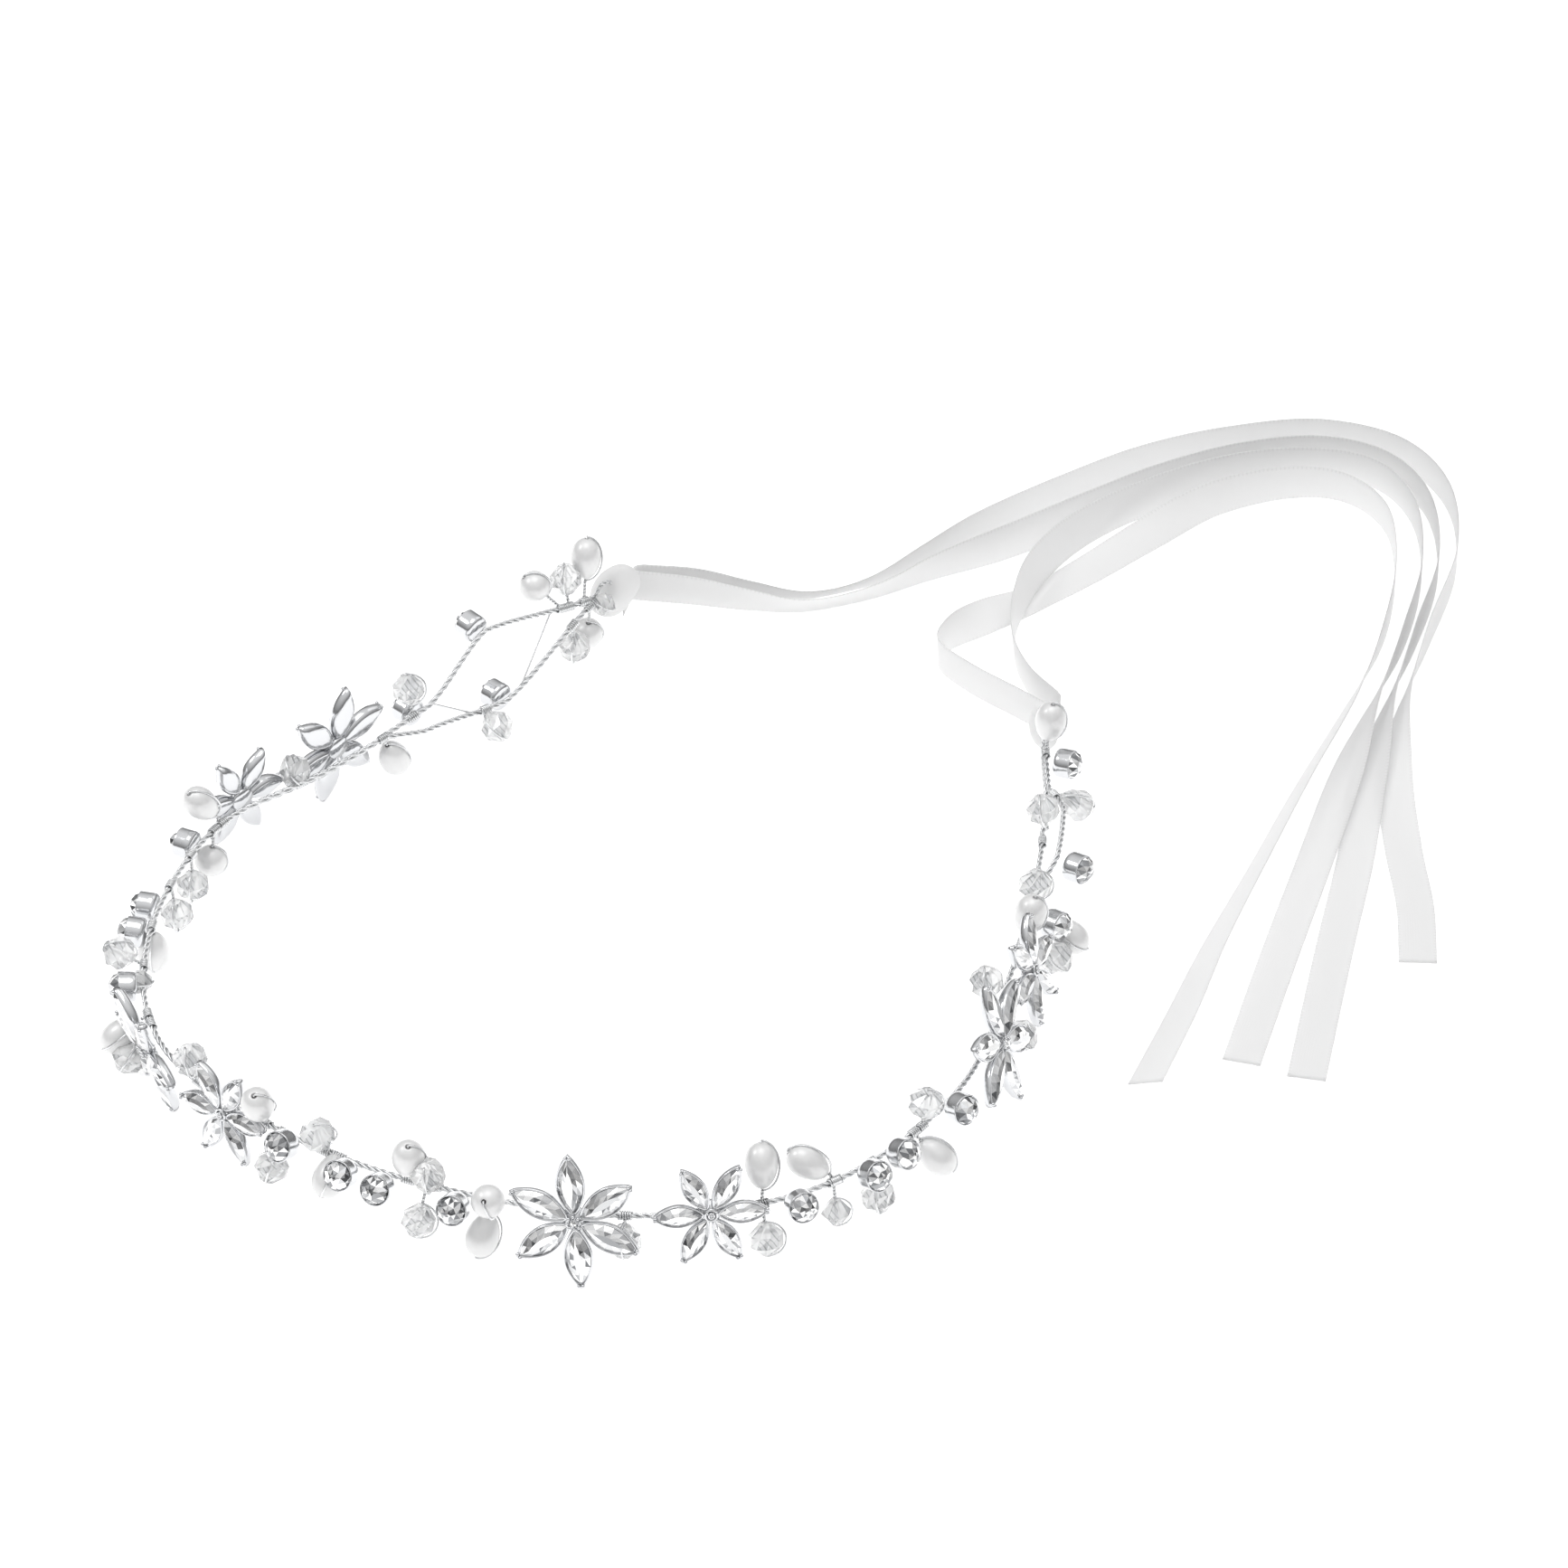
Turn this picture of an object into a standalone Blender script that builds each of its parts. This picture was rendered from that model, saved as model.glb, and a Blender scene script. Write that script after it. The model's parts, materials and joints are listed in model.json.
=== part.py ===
"""Bridal flower crown: a hair vine of twisted silver wire with two satin ribbons.

The vine is an open oval that stands on the tips of its large flowers.  Its
middle is at -Y, its two ends with the ribbons are at +Y, and +Z is up.  A place
on it is given by three lengths in millimetres: along the wire from the middle
(the left end is negative), out from the wire, and up from the table.

Every ornament is a node of its own.  A pearl or crystal turns on the straight
wire stem that it is threaded on, and the two arms of the vine bend on the
front part at a bare stretch of wire on each side.
"""

import math

import bmesh
import bpy
import numpy as np
from mathutils import Matrix, Vector

MM = 0.001
GAP = 0.3                      # clearance between neighbours, in mm

# The vine, in mm
VINE_PLAN = [(-48, 88), (-57, 58), (-70.2, 16), (-82, -14), (-76, -50), (-56, -77), (-20, -88.5),
             (16, -88), (49, -78), (73, -56), (83, -22), (78, 12), (67, 54), (52, 86)]
PLAN_SHIFT = (-0.55, 0.8)      # centres the crown's outline on the origin
VINE_HEIGHT = 11.0
VINE_RADIUS = 0.8
BRANCH_RADIUS = 0.55
STEM_RADIUS = 0.35
WIRE_STEP = 6.0
LEFT_BEND = -112.0             # along the vine: where each arm bends
RIGHT_BEND = 122.0
LEFT_SPLIT = -174.0            # where each arm's wire divides in two
RIGHT_SPLIT = 182.0
LEFT_END = -234.0
RIGHT_END = 229.0
EYE_RADIUS = 2.6               # the wire eye at each end, for the ribbon

# Flowers, in mm
PETALS = 6
LARGE_REACH = 13.3
SMALL_REACH = 11.0
LARGE_PETAL = 5.0
SMALL_PETAL = 4.0
PETAL_DEPTH = 2.2
CHAMFER = 0.5
CHAMFER_WIDTH = 0.4
HUB_REACH = 2.6                # where two petals meet, and their half width there
HUB_HALF = 1.35
FLOWER_STANDOFF = 0.8          # keeps a tilted flower's back off the wire

# Chaton cups, in mm
CUP_RADIUS = 3.0
CUP_LENGTH = 4.2
CUP_FOOT = 2.3
STONE_RADIUS = 2.6
STONE_RISE = 1.3
STONE_TABLE = 1.5

# Beads, in mm: radius and half length of each kind
BEADS = {"pearl": (3.1, 4.4), "round_pearl": (3.2, 3.2), "crystal": (3.4, 3.1), "bicone": (2.9, 2.8),
         "drop": (3.3, 4.6)}
BEAD_SIDES = 10
BORE_RADIUS = STEM_RADIUS + GAP
CRYSTAL_END = 1.3

# Ribbons, in mm
RIBBON_WIDTH = 7.5
RIBBON_THICK = 0.4
RIBBON_STEP = 4.5
FOLD_SIZE = (4.2, 3.0, 8.6)    # along the wire, through, up

# name, along, out from the wire's surface, up, then degrees of tilt up, of turn
# counter-clockwise seen from above and of roll, and whether it is large
FLOWERS = [
    ("flower_large_1", -162.9, 0, 12.5, 4, 0, -15, True),
    ("flower_small_2", -139.1, 0, 11.5, 4, 0, 26, False),
    ("flower_large_3", -60, 0, 12.5, -14, 0, 29, True),
    ("flower_small_4", -36.5, 0, 11.5, 4, 0, 24, False),
    ("flower_large_5", 36.0, 1.5, 12.5, 17, 0, -8, True),
    ("flower_small_6", 59.7, 0, 13.0, 14, 0, 32, False),
    ("flower_large_7", 133.5, 0, 12.5, 16, -4, 0, True),
    ("flower_small_8", 156, 1.0, 12.6, 18, -4, 30, False),
]

# along, out to the back of the cup, up, then degrees of tilt up and of turn
CUPS = [
    (-203.5, 3.2, 19.6, 5, 0), (-204.5, -2.2, 4.8, 0, 0), (-183, 1.1, 11, 0, 0), (-124, 1.1, 10, 0, 0),
    (-105, 1.1, 9, 0, 0), (-96.5, 1.1, 9.5, 5, 0), (-78.5, 1.1, 11, 5, 0), (-22, 1.1, 11, 22, 0),
    (-9, 1.1, 10, 25, 0), (-1.5, 1.1, 9.5, 25, 0), (13.5, 1.6, 10, 22, 0), (76, 1.1, 11, 20, 0),
    (91, 1.1, 11, 22, 0), (98, 1.1, 12, 22, 0), (115, 1.6, 12, 15, -15), (175, 3.1, 10, 5, -25),
    (190.5, 4.9, 12, 5, -25), (223, 2.0, 12, 5, -25),
]

# name, kind, foot of the stem along the vine, then the bead's along, out and up
BEAD_PLACES = [
    ("pearl_1", "pearl", -231, (-233.5, 2, 22.5)),
    ("pearl_2", "round_pearl", -225, (-221, 4.5, 21)),
    ("pearl_3", "round_pearl", -232, (-233, 1.5, 4.2)),
    ("crystal_1", "crystal", -181, (-181.5, 1.2, 18)),
    ("pearl_4", "pearl", -173, (-175.8, 0.2, 4.6)),
    ("pearl_5", "pearl", -132, (-128, 2, 17.5)),
    ("pearl_6", "round_pearl", -129, (-128, 0.5, 4)),
    ("crystal_2", "crystal", -85, (-84, 4.5, 15)),
    ("pearl_7", "pearl", -29, (-27.5, 3.5, 18.5)),
    ("crystal_3", "crystal", -15, (-15, 2, 16.5)),
    ("pearl_8", "pearl", 3, (4, 2, 18)),
    ("crystal_4", "crystal", 6.5, (6, 3, 4.5)),
    ("pearl_9", "pearl", 20, (18.5, 3, 4.6)),
    ("pearl_10", "pearl", 70, (71, -3.4, 17.2)),
    ("crystal_5", "crystal", 70, (70, 2.5, 4.5)),
    ("pearl_11", "pearl", 85.5, (81, -3.4, 14.6)),
    ("crystal_6", "bicone", 84.5, (84.5, 1, 4.4)),
    ("pearl_12", "pearl", 105, (107, 4, 6.2)),
    ("crystal_7", "crystal", 107.5, (108, 0.5, 16.5)),
    ("pearl_13", "pearl", 166, (166.5, 1.5, 18)),
    ("crystal_8", "crystal", 176, (177, 0.5, 17)),
    ("crystal_9", "drop", 211.5, (214, 5.4, 8.4)),
    ("pearl_14", "pearl", 227, (227, 1, 19)),
]

# Routes of the four ribbon tails: x, y, height of the middle, and lean of the
# width in degrees, from 0 lying flat to 90 standing on edge
RIBBONS = {
    "left_ribbon_outer_tail": [
        (-46, 101.5, 8.6, 90), (-36, 107, 7.4, 95), (-25, 111, 6.0, 112), (-15, 116, 4.8, 132),
        (-7, 126, 4.0, 128), (0, 140, 4.0, 100), (8, 157, 4.0, 62), (17, 174, 4.0, 52),
        (28, 192, 4.0, 55), (42, 207, 4.0, 68), (58, 218, 4.0, 80), (76, 219, 4.2, 88),
        (91, 208, 4.2, 90), (101, 187, 4.2, 90), (105.5, 160, 4.2, 90), (109.5, 136, 3.6, 65),
        (116, 116, 1.8, 20), (126, 96, 0.8, 4), (135, 80, 0.45, 0), (142, 64, 0.45, 0)],
    "left_ribbon_inner_tail": [
        (-47, 99.5, 8.0, 90), (-36, 104.5, 6.8, 94), (-25, 108.5, 5.4, 108), (-14, 113, 4.5, 125),
        (-4, 124, 4.0, 120), (4, 138, 4.0, 98), (14, 153, 4.0, 70), (24, 170, 4.2, 60),
        (34, 187, 4.2, 66), (46, 202, 4.2, 78), (60, 212, 4.2, 86), (75, 213, 4.2, 90),
        (88.5, 203, 4.2, 90), (98.5, 183, 4.2, 90), (103.3, 158, 4.2, 90), (106.8, 134, 3.6, 62),
        (112, 112, 1.6, 16), (119, 88, 0.9, 5), (126, 60, 0.45, 0), (136, 22, 0.45, 0)],
    "right_ribbon_folded_tail": [
        (49.5, 96.5, 6.6, 90), (39, 101, 5.2, 92), (27, 105.5, 4.2, 92), (17.5, 110.5, 4.0, 88),
        (16.5, 118, 3.9, 78), (20, 128, 2.8, 42), (25.5, 141, 0.9, 8), (31, 153, 1.2, 12),
        (38, 170, 2.2, 30), (46, 186, 3.6, 60), (58, 198, 4.0, 80), (70, 201.5, 4.2, 90),
        (82, 195, 4.2, 90), (91, 178, 4.2, 90), (97, 156, 4.2, 88), (99.5, 132, 3.6, 62),
        (101, 104, 3.4, 55), (103, 78, 3.2, 50), (105, 50, 2.6, 40), (107.5, 28, 2.0, 28),
        (109.5, 6, 1.7, 22)],
    "right_ribbon_straight_tail": [
        (48.5, 101, 7.0, 90), (39, 108, 6.0, 88), (31, 118, 5.0, 85), (26, 130, 5.3, 78),
        (24, 146, 5.7, 60), (27, 164, 5.2, 55), (36, 184, 4.2, 62), (47, 198, 4.2, 76),
        (60, 207, 4.2, 86), (74, 209, 4.2, 90), (86.5, 199.5, 4.2, 90), (96, 180, 4.2, 90),
        (101.3, 156, 4.2, 90), (104, 132, 3.6, 60), (107.5, 110, 1.8, 18), (112, 84, 1.2, 6),
        (117, 54, 0.6, 0), (123, 21, 0.45, 0)],
}

# colour, roughness, metallic
FINISHES = {
    "silver_wire": ((0.86, 0.86, 0.88, 1.0), 0.22, 1.0),
    "silver_setting": ((0.80, 0.80, 0.82, 1.0), 0.18, 1.0),
    "foiled_stone": ((0.62, 0.63, 0.66, 1.0), 0.08, 0.6),
    "clear_crystal": ((0.90, 0.92, 0.94, 1.0), 0.05, 0.0),
    "pearl": ((0.86, 0.84, 0.82, 1.0), 0.25, 0.0),
    "white_satin": ((0.92, 0.92, 0.92, 1.0), 0.45, 0.0),
}


def smooth_curve(points, per_span=24):
    """Catmull-Rom curve through the points: passes through each, straight on at both ends."""
    knots = np.array(points, float)
    knots = np.vstack([2 * knots[0] - knots[1], knots, 2 * knots[-1] - knots[-2]])
    t = np.arange(per_span)[:, None] / per_span
    spans = []
    for p0, p1, p2, p3 in zip(knots[:-3], knots[1:-2], knots[2:-1], knots[3:]):
        spans.append(0.5 * (2 * p1 + (p2 - p0) * t + (2 * p0 - 5 * p1 + 4 * p2 - p3) * t ** 2
                            + (3 * p1 - p0 - 3 * p2 + p3) * t ** 3))
    return np.vstack(spans + [knots[-2]])


def lengths_along(points):
    """Length from the first point to each point."""
    steps = np.linalg.norm(np.diff(points, axis=0), axis=1)
    return np.concatenate([[0.0], np.cumsum(steps)])


PLAN = smooth_curve(VINE_PLAN)
PLAN_LENGTHS = lengths_along(PLAN)
BEHIND = 1000 * (PLAN[:, 1] > 0)
FRONT = PLAN_LENGTHS[np.argmin(np.abs(PLAN[:, 0]) + BEHIND)]


def plan_point(along):
    """Point of the vine's middle line in plan; it runs straight on past both ends."""
    length = along + FRONT
    inside = min(max(length, 0.0), PLAN_LENGTHS[-1])
    x = np.interp(inside, PLAN_LENGTHS, PLAN[:, 0])
    y = np.interp(inside, PLAN_LENGTHS, PLAN[:, 1])
    extra = length - inside
    if extra:
        end = PLAN[-1] - PLAN[-2] if extra > 0 else PLAN[1] - PLAN[0]
        x, y = np.array([x, y]) + extra * end / np.linalg.norm(end)
    return np.array([x, y]) + PLAN_SHIFT


def directions(along):
    """Unit vectors along the vine and out from it, in plan."""
    step = plan_point(along + 2) - plan_point(along - 2)
    tangent = step / np.linalg.norm(step)
    return tangent, np.array([tangent[1], -tangent[0]])


def place(along, out, up):
    """World point, in mm, of a place given along, out and up."""
    x, y = plan_point(along) + out * directions(along)[1]
    return Vector((x, y, up))


def finish(name):
    """Material of one finish, made once."""
    if name in bpy.data.materials:
        return bpy.data.materials[name]
    colour, roughness, metallic = FINISHES[name]
    material = bpy.data.materials.new(name)
    material.use_nodes = True
    shader = material.node_tree.nodes["Principled BSDF"]
    shader.inputs["Base Color"].default_value = colour
    shader.inputs["Roughness"].default_value = roughness
    shader.inputs["Metallic"].default_value = metallic
    return material


def add_object(name, mesh, material, where=(0, 0, 0), turn=None):
    """One node: a mesh in metres about its own origin, placed by a point in mm and a rotation."""
    node = bpy.data.objects.new(name, mesh)
    bpy.context.scene.collection.objects.link(node)
    node.location = Vector(where) * MM
    if turn is not None:
        node.rotation_mode = "QUATERNION"
        node.rotation_quaternion = turn.to_quaternion()
    if not mesh.materials:
        mesh.materials.append(finish(material))
    return node


def mesh_from(name, points, faces):
    """Mesh in metres from points in mm, with its faces turned outwards."""
    mesh = bpy.data.meshes.new(name)
    shape = bmesh.new()
    corners = [shape.verts.new(Vector(point) * MM) for point in points]
    for face in faces:
        shape.faces.new([corners[i] for i in face])
    bmesh.ops.recalc_face_normals(shape, faces=shape.faces)
    shape.to_mesh(mesh)
    shape.free()
    return mesh


def facing(along, tilt, turn, roll=0.0):
    """Rotation whose Z looks out of the vine, turned and tilted up, and whose Y is rolled from straight up."""
    out = Matrix.Rotation(math.radians(turn), 2) @ Vector(directions(along)[1])
    rise = math.radians(tilt)
    z_axis = Vector((out[0] * math.cos(rise), out[1] * math.cos(rise), math.sin(rise)))
    x_axis = Vector((0, 0, 1)).cross(z_axis).normalized()
    y_axis = z_axis.cross(x_axis)
    frame = Matrix((x_axis, y_axis, z_axis)).transposed()
    return frame @ Matrix.Rotation(math.radians(-roll), 3, "Z")


def pointing(direction):
    """Rotation that takes Z to the direction."""
    return Vector((0, 0, 1)).rotation_difference(direction.normalized()).to_matrix()


def turned(name, profile, sides, closed):
    """Solid of revolution about Z; a closed profile is a ring round a bore."""
    points = []
    faces = []
    count = len(profile)
    for side in range(sides):
        angle = 2 * math.pi * side / sides
        points += [(r * math.cos(angle), r * math.sin(angle), z) for r, z in profile]
    spans = count if closed else count - 1
    for side in range(sides):
        here = side * count
        there = ((side + 1) % sides) * count
        for i in range(spans):
            j = (i + 1) % count
            faces.append((here + i, there + i, there + j, here + j))
    if not closed:
        faces.append([side * count for side in range(sides)])
        faces.append([side * count + count - 1 for side in range(sides)])
    return mesh_from(name, points, faces)


def tube(points, radius, sides):
    """Points and faces of a round tube along the points, with flat caps."""
    path = [Vector(point) for point in points]
    count = len(path)
    rings = []
    normal = None
    for i, point in enumerate(path):
        step = (path[min(i + 1, count - 1)] - path[max(i - 1, 0)]).normalized()
        if normal is None:
            normal = step.orthogonal().normalized()
        normal = (normal - step * normal.dot(step)).normalized()
        side = step.cross(normal)
        for k in range(sides):
            angle = 2 * math.pi * k / sides
            rings.append(point + radius * (math.cos(angle) * normal + math.sin(angle) * side))
    faces = []
    for i in range(count - 1):
        for k in range(sides):
            j = (k + 1) % sides
            faces.append((i * sides + k, i * sides + j, (i + 1) * sides + j, (i + 1) * sides + k))
    faces.append(list(range(sides)))
    faces.append([(count - 1) * sides + k for k in range(sides)])
    return rings, faces


def wire_node(name, runs):
    """One wire solid: the Boolean union of its tubes, each a list of points, a radius and sides."""
    node = None
    for number, (points, radius, sides) in enumerate(runs):
        mesh = mesh_from(f"{name}_run_{number}", *tube(points, radius, sides))
        if node is None:
            node = add_object(name, mesh, "silver_wire")
            continue
        branch = add_object(f"{name}_cutter_{number}", mesh, "silver_wire")
        branch.hide_render = True
        branch.display_type = "WIRE"
        union = node.modifiers.new(f"join_{number}", "BOOLEAN")
        union.operation = "UNION"
        union.solver = "EXACT"
        union.object = branch
    return node


def vine_run(start, end, shape):
    """Points along the vine between two places; shape gives out and up at each."""
    count = int(round((end - start) / WIRE_STEP)) + 1
    return [place(along, *shape(along)) for along in np.linspace(start, end, count)]


def stem_run(start, bead_place, half_length):
    """Straight stem from the wire through the bead, ending just past it."""
    middle = place(*bead_place)
    along_stem = (middle - start).normalized()
    tip = middle + along_stem * (half_length + 0.7)
    lowest = STEM_RADIUS + 0.02
    if tip.z < lowest:
        tip = middle + along_stem * (middle.z - lowest) / -along_stem.z
    return [start, tip]


def bend_between(stations):
    """Out and up read from a few stations (along, out, up), with slightly rounded corners."""
    keys = np.array(stations, float)

    def shape(along):
        i = int(np.clip(np.searchsorted(keys[:, 0], along) - 1, 0, len(keys) - 2))
        t = np.clip((along - keys[i, 0]) / (keys[i + 1, 0] - keys[i, 0]), 0, 1)
        t = 0.6 * t + 0.4 * t * t * (3 - 2 * t)
        return tuple(keys[i, 1:] * (1 - t) + keys[i + 1, 1:] * t)

    return shape


LEFT_UPPER = bend_between([(LEFT_END, 0.2, 13.3), (-204.5, 2.4, 19.6), (-185, -0.6, 12.6),
                           (LEFT_SPLIT, 0.2, 11.3)])
LEFT_LOWER = bend_between([(LEFT_END, -0.2, 12.7), (-204.5, -3.3, 4.8), (-183, -2.2, 8.6),
                           (LEFT_SPLIT, -0.2, 10.7)])
RIGHT_UPPER = bend_between([(RIGHT_SPLIT, 0.2, 11.3), (191, 3, 14), (205, 3, 14), (216, 0.2, 11.3)])
RIGHT_LOWER = bend_between([(RIGHT_SPLIT, -0.2, 10.7), (191, -1, 8), (205, -1, 8), (216, -0.2, 10.7)])


def straight(along):
    """Out and up of the plain vine."""
    return 0.0, VINE_HEIGHT


# The wire nodes: the length of vine each holds, its runs, and the run its stems stand on
WIRES = {
    "left_end_wire": (LEFT_END, LEFT_SPLIT - 0.8, [LEFT_UPPER, LEFT_LOWER], LEFT_UPPER),
    "left_arm_wire": (LEFT_SPLIT + 0.5, LEFT_BEND - 0.3, [straight], straight),
    "front_wire": (LEFT_BEND + 0.3, RIGHT_BEND - 0.3, [straight], straight),
    "right_arm_wire": (RIGHT_BEND + 0.3, RIGHT_SPLIT - 0.5, [straight], straight),
    "right_end_wire": (RIGHT_SPLIT + 0.8, RIGHT_END, [RIGHT_UPPER, RIGHT_LOWER], RIGHT_UPPER),
}
HANGING = "pearl_3"            # the one bead on the lower branch of its wire


def stem_foot(bead, foot):
    """Point on the wire where a bead's stem starts."""
    for start, end, _, shape in WIRES.values():
        if start <= foot <= end:
            return place(foot, *(LEFT_LOWER if bead == HANGING else shape)(foot))
    raise ValueError(bead)


def eye_run(end, outwards):
    """Closed turn of wire past the vine's end, standing upright."""
    tangent = directions(end)[0] * outwards
    start = place(end, 0, 13 if end < 0 else VINE_HEIGHT)
    centre = start + Vector((tangent[0], tangent[1], 0)) * EYE_RADIUS
    run = []
    for angle in np.linspace(0, 1.9 * math.pi, 14):
        run.append(centre - Vector((tangent[0], tangent[1], 0)) * EYE_RADIUS * math.cos(angle)
                   + Vector((0, 0, 1)) * EYE_RADIUS * math.sin(angle))
    return run


def make_wires():
    """Vine wires with the stems of their beads."""
    for name, (start, end, shapes, _) in WIRES.items():
        radius = VINE_RADIUS if len(shapes) == 1 else BRANCH_RADIUS
        runs = [(vine_run(start, end, shape), radius, 8) for shape in shapes]
        for bead, kind, foot, bead_place in BEAD_PLACES:
            if start <= foot <= end:
                stem = stem_run(stem_foot(bead, foot), bead_place, BEADS[kind][1])
                runs.append((stem, STEM_RADIUS, 6))
        if name == "left_end_wire":
            runs.append((eye_run(LEFT_END + 0.3, -1), BRANCH_RADIUS, 8))
        if name == "right_end_wire":
            runs.append((eye_run(RIGHT_END - 0.3, 1), BRANCH_RADIUS, 8))
        wire_node(name, runs)


def flower_mesh(name, reach, petal):
    """Six boat-shaped petals round a hub: one outline extruded, with a chamfered front."""
    outline = []
    for k in range(PETALS):
        middle = math.pi / 2 - 2 * math.pi * k / PETALS
        half = petal / 2
        # across the petal: (distance from the hub, half width)
        for along, across in [(HUB_REACH, HUB_HALF), (0.45 * reach, half), (0.66 * reach, half),
                              (0.87 * reach, 0.5 * half), (reach, 0.12 * half)]:
            outline.append((middle, along, across))
        for along, across in [(reach, -0.12 * half), (0.87 * reach, -0.5 * half),
                              (0.66 * reach, -half), (0.45 * reach, -half), (HUB_REACH, -HUB_HALF)]:
            outline.append((middle, along, across))
    mesh = bpy.data.meshes.new(name)
    shape = bmesh.new()
    corners = []
    for middle, along, across in outline:
        x = along * math.cos(middle) - across * math.sin(middle)
        y = along * math.sin(middle) + across * math.cos(middle)
        corners.append(shape.verts.new((x * MM, y * MM, 0)))
    base = shape.faces.new(corners)
    grown = bmesh.ops.extrude_face_region(shape, geom=[base])
    top = [part for part in grown["geom"] if isinstance(part, bmesh.types.BMFace)]
    moved = [part for part in grown["geom"] if isinstance(part, bmesh.types.BMVert)]
    bmesh.ops.translate(shape, verts=moved, vec=(0, 0, (PETAL_DEPTH - CHAMFER) * MM))
    bmesh.ops.inset_region(shape, faces=top, thickness=CHAMFER_WIDTH * MM, depth=CHAMFER * MM)
    bmesh.ops.recalc_face_normals(shape, faces=shape.faces)
    shape.to_mesh(mesh)
    shape.free()
    return mesh


def make_flowers():
    """Cast flowers: a large one stands on the table with its lowest petal tip."""
    large = flower_mesh("large_flower", LARGE_REACH, LARGE_PETAL)
    small = flower_mesh("small_flower", SMALL_REACH, SMALL_PETAL)
    for name, along, out, up, tilt, turned_by, roll, is_large in FLOWERS:
        turn = facing(along, tilt, turned_by, roll)
        mesh = large if is_large else small
        where = place(along, VINE_RADIUS + GAP + out, up) + turn @ Vector((0, 0, FLOWER_STANDOFF))
        if is_large:
            lowest = min((turn @ vertex.co).z for vertex in mesh.vertices) / MM
            where.z = -lowest
        add_object(name, mesh, "silver_setting", where, turn)


def make_cups():
    """Chaton cups: a plain turned cup filled by its stone."""
    profile = [(CUP_FOOT, 0.0), (CUP_RADIUS, 0.5), (CUP_RADIUS, CUP_LENGTH),
               (STONE_RADIUS, CUP_LENGTH), (STONE_TABLE, CUP_LENGTH + STONE_RISE)]
    mesh = turned("cup", profile, 12, closed=False)
    for number, (along, out, up, tilt, turned_by) in enumerate(CUPS, 1):
        turn = facing(along, tilt, turned_by)
        lift = CUP_FOOT * math.sin(math.radians(abs(tilt)))
        add_object(f"chaton_cup_{number}", mesh, "foiled_stone", place(along, out + lift, up), turn)


def bead_mesh(kind):
    """Bored bead, turned about Z: a pearl is an ellipse, a crystal is cut to flat cones."""
    radius, half = BEADS[kind]
    if "pearl" in kind:
        steep = math.asin(BORE_RADIUS / radius)
        angles = np.linspace(-math.pi / 2 + steep, math.pi / 2 - steep, 6)
        ring = [(radius * math.cos(angle), half * math.sin(angle)) for angle in angles]
    else:
        belt = 0.25 * half
        ring = [(CRYSTAL_END, -half), (radius, -belt), (radius, belt), (CRYSTAL_END, half),
                (BORE_RADIUS, half), (BORE_RADIUS, -half)]
    return turned(kind, ring, BEAD_SIDES, closed=True)


def make_beads():
    """Pearls and crystals, each with its origin and its Z on the stem it turns on."""
    meshes = {kind: bead_mesh(kind) for kind in BEADS}
    for name, kind, foot, bead_place in BEAD_PLACES:
        middle = place(*bead_place)
        turn = pointing(middle - stem_foot(name, foot))
        material = "pearl" if "pearl" in kind else "clear_crystal"
        add_object(name, meshes[kind], material, middle, turn)


def ribbon_strip(points):
    """Flat strip swept along x, y, height and lean, in mm."""
    dense = smooth_curve(points)
    along = lengths_along(dense[:, :3])
    count = int(round(along[-1] / RIBBON_STEP)) + 1
    wanted = np.linspace(0, along[-1], count)
    path = np.stack([np.interp(wanted, along, dense[:, i]) for i in range(4)], axis=1)
    path[:, :2] += PLAN_SHIFT
    corners = []
    for i in range(count):
        step = Vector(path[min(i + 1, count - 1), :3] - path[max(i - 1, 0), :3]).normalized()
        level = Vector((-step.y, step.x, 0)).normalized()
        rise = step.cross(level)
        if rise.z < 0:
            rise = -rise
        lean = math.radians(path[i, 3])
        wide = level * math.cos(lean) + rise * math.sin(lean)
        thick = step.cross(wide)
        middle = Vector(path[i, :3])
        for across, through in [(-1, -1), (1, -1), (1, 1), (-1, 1)]:
            corners.append(middle + wide * across * RIBBON_WIDTH / 2
                           + thick * through * RIBBON_THICK / 2)
    faces = []
    for i in range(0, 4 * (count - 1), 4):
        faces += [(i, i + 1, i + 5), (i, i + 5, i + 4)]
        faces += [(i + 2, i + 3, i + 6), (i + 3, i + 7, i + 6)]
        faces += [(i + 1, i + 2, i + 6, i + 5), (i + 3, i, i + 4, i + 7)]
    faces.append((0, 1, 2, 3))
    last = 4 * (count - 1)
    faces.append((last, last + 1, last + 2, last + 3))
    return corners, faces


def make_folds():
    """The pillow-shaped fold of each ribbon, past the wire eye that it is looped through."""
    for name, end, outwards, up in [("left_ribbon_fold", LEFT_END, -1, 10.0),
                                    ("right_ribbon_fold", RIGHT_END, 1, 9.5)]:
        tangent = Vector((*(directions(end)[0] * outwards), 0))
        near = place(end, 0, up) + tangent * (2 * EYE_RADIUS + BRANCH_RADIUS + GAP)
        mesh = bpy.data.meshes.new(name)
        shape = bmesh.new()
        bmesh.ops.create_cube(shape, size=1.0)
        bmesh.ops.scale(shape, vec=Vector(FOLD_SIZE) * MM, verts=shape.verts)
        bmesh.ops.bevel(shape, geom=shape.edges, offset=0.8 * MM, segments=2, affect="EDGES")
        shape.to_mesh(mesh)
        shape.free()
        turn = Matrix((tangent, Vector((0, 0, 1)).cross(tangent), Vector((0, 0, 1)))).transposed()
        add_object(name, mesh, "white_satin", near + tangent * FOLD_SIZE[0] / 2, turn)


def make_ribbons():
    """Four ribbon tails, each a flat strip from its fold to its cut end."""
    for name, route in RIBBONS.items():
        add_object(name, mesh_from(name, *ribbon_strip(route)), "white_satin")


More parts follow.
